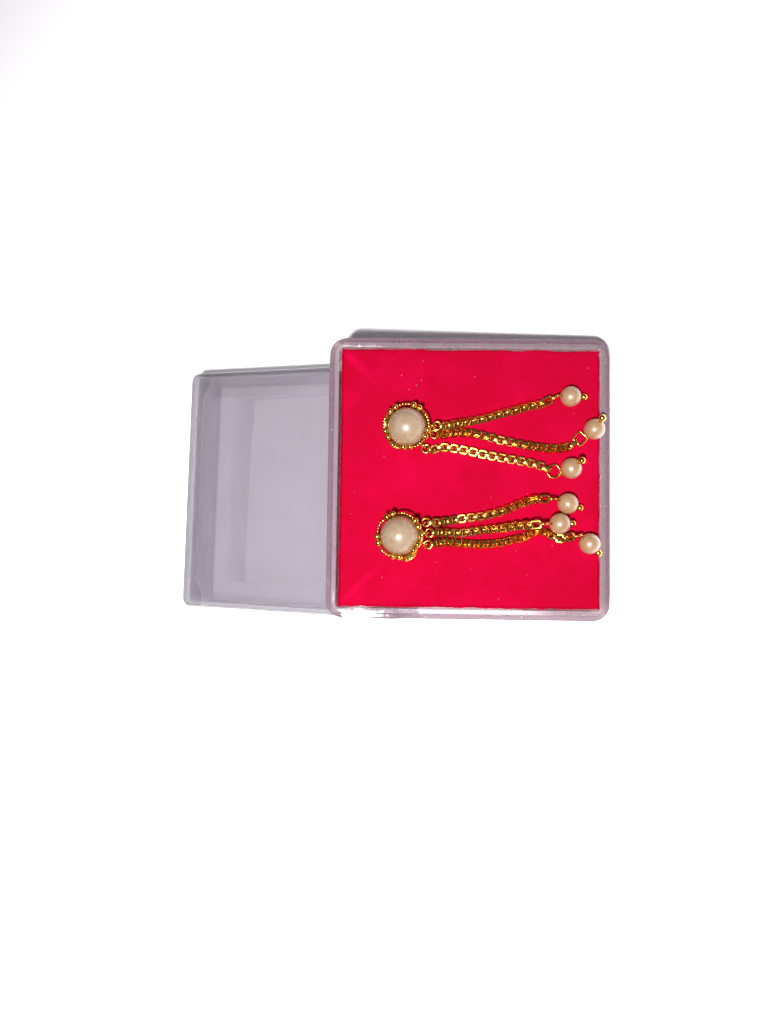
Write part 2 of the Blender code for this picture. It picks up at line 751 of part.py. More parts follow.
def main():
    clear_scene()
    group = make_collection("pearl_drop_earrings_in_box")
    cutters = make_collection("cutters")
    plastic = make_material("clear_plastic", CLEAR_PLASTIC, 0.0, 0.08, 0.35)
    flock = make_material("red_flock", RED_FLOCK, 0.0, 0.95)
    gold = make_material("gold_plate", GOLD, 1.0, 0.25)
    cream = make_material("cream_pearl", CREAM_PEARL, 0.0, 0.35)
    tan = make_material("tan_pearl", TAN_PEARL, 0.0, 0.2)

    root = make_empty("box_frame", group)
    tray = make_empty("tray_frame", group, root)
    lid = make_empty("lid_frame", group, root)
    pad_frame = make_empty("pad_frame", group, tray)
    pad_frame.location.z = PAD_TOP

    base = make_tray(group, cutters, plastic, tray)
    lid_shell = make_lid(group, cutters, plastic, lid)
    places = {side: setting_place(earring) for side, earring in EARRINGS.items()}
    make_pad(group, cutters, flock, pad_frame, places)
    for side, earring in EARRINGS.items():
        make_setting(f"flower_setting_{side}", earring, places[side], group, gold, pad_frame)
        make_cabochon(f"pearl_cabochon_{side}", places[side], group, cream, pad_frame)
        for number, eye in enumerate(earring["eyes"], start=1):
            key = f"{side}{number}"
            make_strand(key, earring, places[side], eye, group, gold, pad_frame)
            make_drop(key, group, gold, tan, pad_frame)

    slide_lid_under(tray, lid, base, lid_shell)
    centre_on_origin(root, [base, lid_shell])


main()
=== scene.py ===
"""Looks of a pair of pearl drop earrings that lie on the flocked pad of their clear box.

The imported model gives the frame. Each operator below makes one piece, or a group of like pieces, in
its place over that frame. Lengths are metres and +Z is up.
"""

from math import cos, pi, radians, sin, sqrt

import bmesh
import bpy
import numpy as np
from bpy.props import FloatProperty, FloatVectorProperty, IntProperty, PointerProperty
from mathutils import Matrix, Vector, noise


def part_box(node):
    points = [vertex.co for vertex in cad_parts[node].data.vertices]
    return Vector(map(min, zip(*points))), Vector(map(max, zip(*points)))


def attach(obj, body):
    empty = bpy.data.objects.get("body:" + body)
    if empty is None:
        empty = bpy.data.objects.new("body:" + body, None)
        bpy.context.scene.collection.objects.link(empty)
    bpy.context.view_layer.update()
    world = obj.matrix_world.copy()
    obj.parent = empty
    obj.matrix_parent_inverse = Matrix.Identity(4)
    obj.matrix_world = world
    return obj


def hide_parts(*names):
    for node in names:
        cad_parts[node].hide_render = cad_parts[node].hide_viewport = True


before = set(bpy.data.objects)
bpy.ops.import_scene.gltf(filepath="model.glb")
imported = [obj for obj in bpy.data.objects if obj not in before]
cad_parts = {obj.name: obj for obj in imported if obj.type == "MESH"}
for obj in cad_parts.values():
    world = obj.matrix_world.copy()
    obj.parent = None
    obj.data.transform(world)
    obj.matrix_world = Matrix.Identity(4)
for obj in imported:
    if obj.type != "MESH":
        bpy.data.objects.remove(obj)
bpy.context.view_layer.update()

bl_info = {
    "name": "Pearl drop earrings in a clear box",
    "version": (1, 0, 0),
    "blender": (4, 5, 0),
    "location": "3D View > Sidebar > Earrings",
    "description": "Makes the finished surfaces of two pearl drop earrings and the box they lie in",
    "category": "Object",
}

MM = 0.001
UP = Vector((0, 0, 1))

# Where each earring sits on the pad in mm, how far it leans and which way, the bearings of its claws,
# the half width in mm of the band over the petal that follows each claw, and its chain eyes: bearing
# and height in mm.
EARRINGS = {
    "a": {
        "at": (-14.25, 11.0),
        "tilt": 3.0,
        "tilt_bearing": 150.0,
        "claws": (63.0, 130.0, 204.0, 271.0, 339.0),
        "bands": (0.38, 0.46, 0.54, 0.38, 0.36),
        "eyes": ((3.0, 2.6), (-12.0, 1.05), (-47.0, 1.05)),
    },
    "b": {
        "at": (-15.0, -13.8),
        "tilt": 13.0,
        "tilt_bearing": 160.0,
        "claws": (31.0, 115.0, 193.0, 265.0, 325.0),
        "bands": (0.36, 0.36, 0.42, 0.8, 0.5),
        "eyes": ((30.0, 1.05), (7.0, 1.05), (-17.0, 1.05)),
    },
}

# Routes of the strands: x, y and height in mm of the chain's middle on the pad
ROUTES = {
    "a1": [(-6.0, 11.4, 2.95), (-3.4, 12.0, 2.6), (-1.4, 12.5, 1.8), (0.6, 13.0, 1.3), (3.8, 13.7, 1.3),
           (6.3, 14.5, 1.3), (10.1, 15.5, 1.3), (13.9, 16.6, 1.3), (16.4, 17.0, 1.5)],
    "a2": [(-6.2, 9.8, 1.3), (-3.0, 10.1, 1.3), (0.0, 10.1, 1.3), (3.4, 9.45, 1.3), (7.6, 8.5, 1.3),
           (12.0, 7.6, 1.3), (15.9, 7.0, 1.3), (18.8, 6.7, 1.3), (21.6, 7.0, 1.3)],
    "a3": [(-8.6, 6.2, 1.3), (-6.6, 6.8, 1.3), (-4.3, 6.7, 1.3), (0.0, 6.0, 1.3), (3.8, 5.2, 1.3),
           (7.9, 4.5, 1.3), (12.2, 3.75, 1.3), (15.6, 3.0, 1.3)],
    "b1": [(-7.0, -10.5, 2.8), (-4.8, -10.1, 1.8), (-2.6, -9.7, 1.3), (-0.5, -9.3, 1.3), (3.7, -8.7, 1.3),
           (8.1, -7.4, 1.3), (10.2, -6.5, 1.3), (12.1, -5.7, 1.3), (14.9, -4.8, 1.5)],
    "b2": [(-6.6, -12.7, 2.7), (-4.4, -12.7, 1.7), (-1.8, -12.7, 1.3), (3.6, -11.9, 1.3), (6.4, -11.6, 1.5),
           (9.4, -11.2, 2.5), (12.0, -10.9, 3.4)],
    "b3": [(-6.8, -15.2, 2.6), (-4.6, -15.0, 1.6), (-2.2, -15.2, 1.3), (2.1, -15.4, 1.3), (5.5, -15.2, 1.3),
           (8.0, -14.8, 1.3), (10.3, -14.1, 1.3), (12.2, -13.8, 1.3), (13.9, -12.9, 1.3),
           (15.6, -12.1, 1.3), (17.5, -12.5, 1.3), (19.2, -13.3, 1.3), (21.2, -13.7, 1.4)],
}

# How far each strand is rolled about its own line, in degrees, at even steps from setting to drop
ROLLS = {
    "a1": (8.0, 28.0, 30.0, 35.0),
    "a2": (-20.0, -22.0, 6.0, -28.0, -32.0),
    "a3": (18.0, 20.0, 5.0, 0.0),
    "b1": (0.0, 4.0, 18.0, 34.0, 38.0),
    "b2": (4.0, 15.0, 36.0, 22.0),
    "b3": (-6.0, -28.0, -30.0, -34.0, 30.0),
}

# Drops: the pearl's place and lift on the pad in mm, the bearing and rise of its ball head in degrees,
# the radius in mm of the eye loop, how much its bends are kinked, the length in mm of the wire's free
# end, and for a loop that lies flat its place on the pad and the bearing of the last link
DROPS = {
    "a1": {"at": (22.8, 18.6), "lift": 0.0, "head": (1.0, -16.0), "loop": 1.25, "kink": 0.0, "tail": 0.9},
    "a2": {"at": (28.2, 11.2), "lift": 0.0, "head": (62.0, 42.0), "loop": 1.7, "kink": 0.9, "tail": 0.3,
           "lies": (25.2, 9.2), "hook": 222.0},
    "a3": {"at": (23.0, 2.2), "lift": 0.0, "head": (41.0, 44.0), "loop": 1.55, "kink": 0.15, "tail": 1.3,
           "lies": (19.25, 1.6), "hook": 161.0},
    "b1": {"at": (22.2, -5.8), "lift": 0.0, "head": (-17.0, -20.0), "loop": 1.25, "kink": 0.0, "tail": 0.5},
    "b2": {"at": (20.25, -10.4), "lift": 0.9, "head": (2.0, -22.0), "loop": 1.25, "kink": 0.0, "tail": 0.3},
    "b3": {"at": (27.1, -14.8), "lift": 0.0, "head": (-43.0, -20.0), "loop": 1.25, "kink": 0.0, "tail": 0.6},
}


def length(name, words, value):
    """A size of the real thing, given in mm and kept in metres."""
    return FloatProperty(name=name, description=words, default=value * MM, unit="LENGTH", precision=5)


def linear(code):
    """Linear red, green and blue of an sRGB hex colour."""
    parts = [int(code[i : i + 2], 16) / 255 for i in (1, 3, 5)]
    return tuple(c / 12.92 if c <= 0.04045 else ((c + 0.055) / 1.055) ** 2.4 for c in parts)


def colour(name, words, code):
    return FloatVectorProperty(name=name, description=words, default=linear(code), subtype="COLOR",
                               min=0, max=1)


class BoxSizes(bpy.types.PropertyGroup):
    side: length("Side", "Outer side of tray and lid", 65.0)
    tray_height: length("Tray height", "Height of the tray to the top of its lip", 16.0)
    tray_floor: length("Tray floor", "Thickness of the tray's floor", 1.5)
    tray_corner: length("Tray corner", "Radius of the tray's upright corners", 4.0)
    foot: length("Foot", "Rounding of the tray's bottom edge", 0.7)
    shelf: length("Shelf", "Width of the outer shelf that the lid's rim lands on", 1.05)
    lip: length("Lip", "Width of the raised lip inside the shelf", 1.3)
    lip_height: length("Lip height", "Height of the lip above the shelf", 0.8)
    cavity_corner: length("Cavity corner", "Radius of the upright corners inside", 1.0)
    lid_height: length("Lid height", "Height of the lid", 16.2)
    lid_wall: length("Lid wall", "Thickness of the lid's walls", 1.3)
    lid_top: length("Lid top", "Thickness of the lid's top", 1.5)
    lid_corner: length("Lid corner", "Radius of the lid's upright corners", 2.2)
    lid_length: length("Lid length", "Length of the lid from its closed end to under the tray", 64.4)
    shoulder: length("Shoulder", "Width of the sloping shoulder round the lid's panel", 7.5)
    shoulder_drop: length("Shoulder drop", "Fall of that shoulder", 1.9)
    edge: length("Edge", "Rounding of moulded edges", 0.3)
    lean: FloatProperty(name="Lean", description="How far the tray leans on the lid's edge",
                        default=radians(18.49), unit="ROTATION")
    lid_yaw: FloatProperty(name="Lid turn", description="How far the lid is turned on the table",
                           default=radians(-1.13), unit="ROTATION")


class PadSizes(bpy.types.PropertyGroup):
    side: length("Side", "Side of the square pad", 59.7)
    below_lip: length("Below lip", "Depth of the pad's top under the tray's lip", 0.6)
    above_floor: length("Above floor", "Clearance over the tray's floor", 0.3)
    shift: length("Shift", "How far the pad lies off centre, away from the lid", 0.2)
    ragged: length("Ragged edge", "How far the cut edges wander", 0.28)
    fibre: length("Fibre", "Length of the tufts that stand out of the cut edges", 0.55)
    crease: length("Crease", "Length of the creases in from two corners", 10.0)
    tufts: IntProperty(name="Tufts", description="Tufts along the edges and over the top", default=9000)
    lint: IntProperty(name="Lint", description="Pale specks of lint on the pad", default=34)


class EarringSizes(bpy.types.PropertyGroup):
    pearl: length("Pearl", "Radius of the large pearl", 4.35)
    pearl_depth: length("Pearl depth", "Depth of the large pearl below its middle", 2.4)
    gap: length("Gap", "Clearance between pearl and cup", 0.3)
    cup_wall: length("Cup wall", "Thickness of the cup", 0.4)
    cup_floor: length("Cup floor", "Thickness of the cup's floor", 0.5)
    rim_drop: length("Rim drop", "Depth of the cup's rim under the pearl's middle", 1.5)
    claw: length("Claw", "Half width of a claw", 0.42)
    claw_rise: length("Claw rise", "Height of a claw over the pearl's middle", 1.2)
    granule: length("Granule", "Radius of the balls on the claws", 0.76)
    granule_rise: length("Granule rise", "Height of those balls over the pearl's middle", 1.45)
    granule_spread: length("Granule spread", "Half the distance between two balls of a pair", 0.74)
    arch_thin: length("Arch", "Half width of the band over a petal where it meets the claws", 0.28)
    bead: length("Bead", "Distance from bead to bead along that band", 0.7)
    arch_rise: length("Arch rise", "Rise of that band between two claws", 1.4)
    post: length("Post", "Radius of the ear post", 0.4)
    post_length: length("Post length", "Length of the ear post", 10.0)
    eye: length("Eye", "Radius of the eyes that carry the chains", 0.8)
    eye_wire: length("Eye wire", "Radius of the wire of those eyes", 0.23)


class StrandSizes(bpy.types.PropertyGroup):
    pitch: length("Pitch", "Distance from link to link", 1.09)
    width: length("Width", "Width of a link", 2.0)
    band: length("Band", "Thickness of a link's strip", 0.42)
    strip: length("Strip", "Width of a link's strip", 0.95)
    seat: length("Seat", "How deep a link sits in the next", 0.05)
    last_link: length("Last link", "Length of the link at the drop", 2.5)
    ring: length("Ring", "Radius of the ring at the setting", 0.9)
    ring_wire: length("Ring wire", "Radius of that ring's wire", 0.25)
    play: length("Play", "Clearance between link and pin", 0.25)
    pearl: length("Pearl", "Radius of a drop's pearl", 2.35)
    pin: length("Pin", "Radius of a drop's pin", 0.22)
    bore: length("Bore gap", "Clearance of pin and pearl", 0.2)
    neck: length("Neck", "Length of pin between pearl and eye loop", 0.65)
    ball: length("Ball", "Radius of the ball head", 0.87)
    rest: length("Rest", "Gap between pearl and pad", 0.3)


class FinishColours(bpy.types.PropertyGroup):
    tray: colour("Tray", "Tint of the tray's clear plastic", "#E8D0D9")
    # Painted shade: a darker tint for the tray's outer wall, shelf and the lip's outer side
    tray_wall_shade: colour("Tray, deep", "Tint of the tray's outer wall, seen along its height", "#B898A8")
    lid: colour("Lid", "Tint of the lid's clear plastic", "#C9BFCC")
    # Painted shade: a darker tint for the lid's walls, inside and out
    lid_wall_shade: colour("Lid, deep", "Tint of the lid's walls, seen along their height", "#B4B1BD")
    flock: colour("Flock", "The pad's flock", "#C2002E")
    # The lighter flock: lighter streaks at random, and painted highlight along the creases
    flock_light: colour("Flock, brushed", "Flock that lies the other way", "#DE0244")
    gold: colour("Gold", "Bright gold plate", "#FCD06C")
    gold_deep: colour("Gold, deep", "Gold plate where it is thicker", "#F0B048")
    cream: colour("Cream pearl", "The large pearls", "#B8A187")
    cream_warm: colour("Cream pearl, warm", "Warmer patches of the large pearls", "#AE8D6C")
    tan: colour("Champagne pearl", "The small pearls", "#BF9870")
    tan_deep: colour("Champagne pearl, deep", "Deeper patches of the small pearls", "#B08660")
    lint: colour("Lint", "Specks of lint", "#B87C90")
    lint_pale: colour("Lint, pale", "The palest specks of lint", "#CBBCC5")
    table: colour("Table", "The table top", "#F4F3F4")


SETTINGS = {
    "box_sizes": BoxSizes,
    "pad_sizes": PadSizes,
    "earring_sizes": EarringSizes,
    "strand_sizes": StrandSizes,
    "finish_colours": FinishColours,
}


def tray_frame():
    """The tray's own frame: its middle on the underside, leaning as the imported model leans."""
    box = bpy.context.scene.box_sizes
    lean = box.lean
    low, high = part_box("box_base")
    x = low.x + box.side / 2 * cos(lean) - box.foot * sin(lean)
    z = (box.side / 2 - box.foot) * sin(lean)
    return Matrix.Translation((x, (low.y + high.y) / 2, z)) @ Matrix.Rotation(lean, 4, "Y")


def pad_frame():
    """The frame of the pad's top, in the tray."""
    return tray_frame() @ Matrix.Translation((0, 0, pad_top()))


def pad_top():
    return bpy.context.scene.box_sizes.tray_height - bpy.context.scene.pad_sizes.below_lip


def lid_frame():
    low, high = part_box("box_lid")
    yaw = bpy.context.scene.box_sizes.lid_yaw
    return Matrix.Translation(((low.x + high.x) / 2, (low.y + high.y) / 2, 0)) @ Matrix.Rotation(yaw, 4, "Z")


# Mesh helpers


def polar(radius, bearing, z=0.0):
    return Vector((radius * cos(radians(bearing)), radius * sin(radians(bearing)), z))


def placing(centre, x_axis, z_axis):
    """A frame at a centre with its X along x_axis and its Z as near to z_axis as it can be."""
    x = x_axis.normalized()
    z = (z_axis - z_axis.dot(x) * x).normalized()
    return Matrix.Translation(centre) @ Matrix((x, z.cross(x), z)).transposed().to_4x4()


def make_object(name, mesh, material=None):
    if material:
        mesh.materials.clear()
        mesh.materials.append(material)
    item = bpy.data.objects.new(name, mesh)
    bpy.context.scene.collection.objects.link(item)
    return item


def mesh_of(bm, name, sharp=40):
    """A smooth-shaded mesh whose folds above an angle in degrees stay sharp."""
    bmesh.ops.recalc_face_normals(bm, faces=bm.faces[:])
    mesh = bpy.data.meshes.new(name)
    bm.to_mesh(mesh)
    bm.free()
    mesh.shade_smooth()
    mesh.set_sharp_from_angle(angle=radians(sharp))
    return mesh


def join_mesh(mesh, extra):
    """Add a second mesh to a mesh."""
    bm = bmesh.new()
    bm.from_mesh(mesh)
    bm.from_mesh(extra)
    bm.to_mesh(mesh)
    bm.free()


def settled_mesh(item):
    """The plain mesh that an object and its modifiers make; the modifiers go."""
    bpy.context.view_layer.update()
    graph = bpy.context.evaluated_depsgraph_get()
    mesh = bpy.data.meshes.new_from_object(item.evaluated_get(graph), depsgraph=graph)
    item.modifiers.clear()
    return mesh


def finish_piece(item, place, node):
    """Place a piece in its mesh, let it ride on the one body and stand for its CAD node."""
    item.data.transform(place)
    item.data.update()
    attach(item, "root")
    if node:
        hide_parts(node)
    return item


def add_mesh(bm, mesh, place):
    """Add a placed copy of a mesh to a bmesh."""
    copy = mesh.copy()
    copy.transform(place)
    bm.from_mesh(copy)
    bpy.data.meshes.remove(copy)


def oval(width, height, sides, squareness):
    """Points of a cross-section: an oval at 1, nearer a rounded rectangle as squareness falls."""
    points = []
    for i in range(sides):
        c = cos(2 * pi * i / sides)
        s = sin(2 * pi * i / sides)
        points.append((width * abs(c) ** squareness * (1 if c > 0 else -1),
                       height * abs(s) ** squareness * (1 if s > 0 else -1)))
    return points


def sweep(bm, path, widths, heights, up, sides=12, squareness=1.0, closed=False):
    """A bar along a path: widths across the path and up, heights along up, one of each per point."""
    count = len(path)
    rings = []
    for i, point in enumerate(path):
        before = path[i - 1] if i or closed else point
        after = path[(i + 1) % count] if i + 1 < count or closed else point
        tangent = (after - before).normalized()
        wanted = up[i] if isinstance(up, list) else up
        side = tangent.cross(wanted).normalized()
        rise = side.cross(tangent)
        section = oval(widths[i], heights[i], sides, squareness)
        rings.append([bm.verts.new(point + x * side + y * rise) for x, y in section])
    pairs = list(zip(rings, rings[1:])) + ([(rings[-1], rings[0])] if closed else [])
    for near, far in pairs:
        for j in range(sides):
            k = (j + 1) % sides
            bm.faces.new((near[j], near[k], far[k], far[j]))
    if not closed:
        for end in (rings[0][::-1], rings[-1]):
            bm.faces.new(end)


def wire_ring(bm, centre, normal, radius, wire_r, sides=14, steps=28):
    first = normal.orthogonal().normalized()
    second = normal.cross(first)
    path = [centre + radius * (cos(2 * pi * i / steps) * first + sin(2 * pi * i / steps) * second)
            for i in range(steps)]
    sweep(bm, path, [wire_r] * steps, [wire_r] * steps, normal, sides, closed=True)


def ball(bm, centre, radius):
    bmesh.ops.create_uvsphere(bm, u_segments=24, v_segments=14, radius=radius,
                              matrix=Matrix.Translation(centre))


def lathe(bm, profile, steps, place=None):
    """Turn (radius, height) points about Z; a point on the axis closes the end."""
    place = place or Matrix.Identity(4)
    rings = []
    for radius, z in profile:
        if radius < 1e-9:
            rings.append([bm.verts.new(place @ Vector((0, 0, z)))])
        else:
            rings.append([bm.verts.new(place @ polar(radius, 360 * i / steps, z)) for i in range(steps)])
    for upper, lower in zip(rings, rings[1:]):
        for i in range(steps):
            j = (i + 1) % steps
            if len(upper) == 1:
                bm.faces.new((upper[0], lower[i], lower[j]))
            elif len(lower) == 1:
                bm.faces.new((upper[i], lower[0], upper[j]))
            else:
                bm.faces.new((upper[i], lower[i], lower[j], upper[j]))


def rounded_square(half, corner_r, z, steps=10):
    """Points of one level section, anticlockwise from the +X side."""
    points = []
    for quarter in range(4):
        turn = Matrix.Rotation(quarter * pi / 2, 3, "Z")
        for step in range(steps + 1):
            angle = step * pi / (2 * steps)
            reach = half - corner_r
            points.append(turn @ Vector((reach + corner_r * cos(angle), reach + corner_r * sin(angle), 0)))
    return [Vector((p.x, p.y, z)) for p in points]


def eased(profile, steps=4):
    """Round the inner corners of a (half, corner radius, height, easing) profile."""
    out = [profile[0][:3]]
    for before, here, after in zip(profile, profile[1:], profile[2:]):
        p = Vector((here[0], here[2]))
        back = Vector((before[0], before[2])) - p
        on = Vector((after[0], after[2])) - p
        ease = min(here[3], back.length / 2.2, on.length / 2.2)
        start = p + back.normalized() * ease
        end = p + on.normalized() * ease
        for step in range(steps + 1):
            t = step / steps
            q = start * (1 - t) ** 2 + p * 2 * t * (1 - t) + end * t**2
            out.append((q.x, here[1], q.y))
    out.append(profile[-1][:3])
    return out


def square_shell(name, profile):
    """A closed moulded shell through rounded squares, flat faced over its first and last ring."""
    bm = bmesh.new()
    rings = [[bm.verts.new(p) for p in rounded_square(half, corner, z)] for half, corner, z in eased(profile)]
    count = len(rings[0])
    for near, far in zip(rings, rings[1:]):
        for i in range(count):
            j = (i + 1) % count
            bm.faces.new((near[i], near[j], far[j], far[i]))
    bm.faces.new(rings[0][::-1])
    bm.faces.new(rings[-1])
    return mesh_of(bm, name, sharp=60)


def true_flats(item):
    """Keep the flat faces' shading flat right up to their rounded edges."""
    weigh = item.modifiers.new("Weighted Normal", "WEIGHTED_NORMAL")
    weigh.keep_sharp = True
    item.data = settled_mesh(item)
    return item


# Node helpers


def add(tree, kind, inputs=None, **settings):
    """Add a node, set its options, and fill or link its inputs by name or number."""
    node = tree.nodes.new(kind)
    for key, value in settings.items():
        setattr(node, key, value)
    for key, value in (inputs or {}).items():
        if isinstance(value, bpy.types.NodeSocket):
            tree.links.new(value, node.inputs[key])
        else:
            node.inputs[key].default_value = value
    return node


def new_material(name, **values):
    """A Principled material; values go on the shader's own sockets."""
    material = bpy.data.materials.new(name)
    material.use_nodes = True
    tree = material.node_tree
    shader = tree.nodes["Principled BSDF"]
    for key, value in values.items():
        shader.inputs[key.replace("_", " ").title().replace("Ior", "IOR")].default_value = value
    place = add(tree, "ShaderNodeTexCoord").outputs["Object"]
    return material, tree, shader, place


def patches(tree, place, size, detail=2.0, rough=0.5):
    """Soft noise whose patches are about size metres across."""
    return add(tree, "ShaderNodeTexNoise", {"Vector": place, "Scale": 1 / size, "Detail": detail,
                                            "Roughness": rough}).outputs["Fac"]


def between(tree, factor, low, high, start=0.35, end=0.65):
    """A ramp between two linear colours."""
    ramp = add(tree, "ShaderNodeValToRGB", {"Fac": factor})
    stops = ramp.color_ramp.elements
    stops[0].position = start
    stops[1].position = end
    stops[0].color = (*low, 1)
    stops[1].color = (*high, 1)
    return ramp.outputs["Color"]


def levels(tree, value, low, high, start=0.3, end=0.7):
    """A value moved from start..end to low..high."""
    return add(tree, "ShaderNodeMapRange", {"Value": value, "From Min": start, "From Max": end,
                                            "To Min": low, "To Max": high}).outputs["Result"]


def relief(tree, height, depth, strength=1.0):
    return add(tree, "ShaderNodeBump", {"Height": height, "Distance": depth,
                                        "Strength": strength}).outputs["Normal"]


def moulded_polystyrene(name, tint, clearness, solid):
    """Clear polystyrene, injection moulded and scuffed by handling: glassy, with a share of haze."""
    material, tree, shader, place = new_material(name, ior=1.59, transmission_weight=clearness, alpha=solid)
    # Flow marks 3 mm wide along Y, with faint smudges
    flow = add(tree, "ShaderNodeVectorMath", {0: place, 1: (1.0, 0.3, 1.0)}, operation="MULTIPLY").outputs[0]
    marks = patches(tree, flow, 3 * MM, 4.0, 0.6)
    body = between(tree, marks, [0.9 * c for c in tint], tint, 0.3, 0.6)
    # Dust specks, drawn at 0.4 mm so that they show
    dust = levels(tree, patches(tree, place, 0.4 * MM), 0.0, 0.8, 0.66, 0.72)
    dusty = add(tree, "ShaderNodeMix", {0: dust, 6: body, 7: (1.0, 1.0, 1.0, 1.0)}, data_type="RGBA")
    tree.links.new(dusty.outputs[2], shader.inputs["Base Color"])
    # Scuffs 1.5 mm long, drawn coarser than the real hairlines so that they show
    scuffs = patches(tree, place, 1.5 * MM, 6.0, 0.7)
    tree.links.new(levels(tree, scuffs, 0.03, 0.15, 0.45, 0.75), shader.inputs["Roughness"])
    waves = patches(tree, place, 9 * MM)
    tree.links.new(relief(tree, waves, 0.05 * MM), shader.inputs["Normal"])
    return material


def paint_wall_shade(mesh, material, gets_wall_shade):
    """Give the faces that the test picks out a second, darker material: painted shade on them."""
    mesh.materials.append(material)
    for face in mesh.polygons:
        if gets_wall_shade(face):
            face.material_index = 1


def nylon_flock():
    """Short nylon flock blown on to glue over foam: deep, matte, with lighter streaks and a painted highlight
    along two creases.
    """
    colours = bpy.context.scene.finish_colours
    material, tree, shader, place = new_material(
        "nylon_flock", roughness=1.0, sheen_weight=0.15, sheen_roughness=0.5, specular_ior_level=0.1)
    shader.inputs["Sheen Tint"].default_value = (*colours.flock_light, 1)
    # Lighter flock in random streaks, and along the creases as painted highlight
    streaks = patches(tree, place, 11 * MM, 3.0, 0.6)
    crease_highlight = add(tree, "ShaderNodeAttribute", attribute_name="crease_highlight").outputs["Fac"]
    streaks_and_highlight = add(tree, "ShaderNodeMath", {0: levels(tree, streaks, 0.0, 0.6, 0.45, 0.8), 1: crease_highlight},
                  operation="MAXIMUM").outputs[0]
    tree.links.new(between(tree, streaks_and_highlight, colours.flock, colours.flock_light, 0.0, 1.0),
                   shader.inputs["Base Color"])
    # Fibre ends are 0.05 mm; the grain is drawn at 0.35 mm so that it shows
    grain = patches(tree, place, 0.35 * MM, 3.0, 0.6)
    tree.links.new(relief(tree, grain, 0.1 * MM, 0.6), shader.inputs["Normal"])
    return material


def gold_plate():
    """Thin bright gold plate over polished brass: mirror-like, deeper where it is thicker."""
    colours = bpy.context.scene.finish_colours
    material, tree, shader, place = new_material("bright_gold", metallic=1.0)
    cloud = patches(tree, place, 0.9 * MM, 3.0)
    tree.links.new(between(tree, cloud, colours.gold_deep, colours.gold), shader.inputs["Base Color"])
    tree.links.new(levels(tree, patches(tree, place, 0.4 * MM), 0.16, 0.28), shader.inputs["Roughness"])
    return material


def pearl_coat(name, main, patch, coat_roughness, coat_ior):
    """Pearl essence lacquer over a bead: soft body colour under a clear lustrous coat."""
    material, tree, shader, place = new_material(
        name, roughness=0.5, coat_weight=1.0, coat_roughness=coat_roughness, coat_ior=coat_ior,
        subsurface_weight=0.15, subsurface_scale=0.6 * MM)
    shader.inputs["Subsurface Radius"].default_value = (1.0, 0.8, 0.6)
    cloud = patches(tree, place, 1.6 * MM, 4.0, 0.6)
    tree.links.new(between(tree, cloud, patch, main, 0.3, 0.6), shader.inputs["Base Color"])
    # Lacquer ripple about 0.3 mm across
    ripple = patches(tree, place, 0.3 * MM, 2.0)
    tree.links.new(relief(tree, ripple, 0.008 * MM), shader.inputs["Normal"])
    return material


def cotton_lint():
    """Stray cotton fibres: pale and matte."""
    colours = bpy.context.scene.finish_colours
    material, tree, shader, place = new_material("cotton_lint", roughness=0.9)
    speck = patches(tree, place, 0.3 * MM)
    tree.links.new(between(tree, speck, colours.lint, colours.lint_pale), shader.inputs["Base Color"])
    return material


def painted_table():
    """Matt white table top."""
    colours = bpy.context.scene.finish_colours
    material, tree, shader, place = new_material("painted_table", roughness=0.8)
    shader.inputs["Base Color"].default_value = (*colours.table, 1)
    grain = patches(tree, place, 3 * MM)
    tree.links.new(relief(tree, grain, 0.02 * MM, 0.2), shader.inputs["Normal"])
    return material


def gold():
    """The gold of every metal piece, made the first time it is asked for."""
    return bpy.data.materials.get("bright_gold") or gold_plate()


# Geometry node trees


def new_tree(name, sizes):
    """A node tree with geometry in and out and a named input for each size."""
    tree = bpy.data.node_groups.new(name, "GeometryNodeTree")
    tree.interface.new_socket("Geometry", in_out="INPUT", socket_type="NodeSocketGeometry")
    for label, kind in sizes.items():
        tree.interface.new_socket(label, in_out="INPUT", socket_type="NodeSocket" + kind)
    tree.interface.new_socket("Geometry", in_out="OUTPUT", socket_type="NodeSocketGeometry")
    return tree, add(tree, "NodeGroupInput").outputs


def end_tree(tree, instances, material):
    real = add(tree, "GeometryNodeRealizeInstances", {"Geometry": instances}).outputs["Geometry"]
    done = add(tree, "GeometryNodeSetMaterial", {"Geometry": real, "Material": material})
    add(tree, "NodeGroupOutput", {"Geometry": done.outputs["Geometry"]})


def run_tree(item, tree, values):
    """The mesh that a tree makes of an object; its inputs are set by their sockets' identifiers."""
    modifier = item.modifiers.new(tree.name, "NODES")
    modifier.node_group = tree
    for socket in tree.interface.items_tree:
        if socket.in_out == "INPUT" and socket.name in values:
            modifier[socket.identifier] = values[socket.name]
    mesh = settled_mesh(item)
    bpy.data.objects.remove(item)
    return mesh


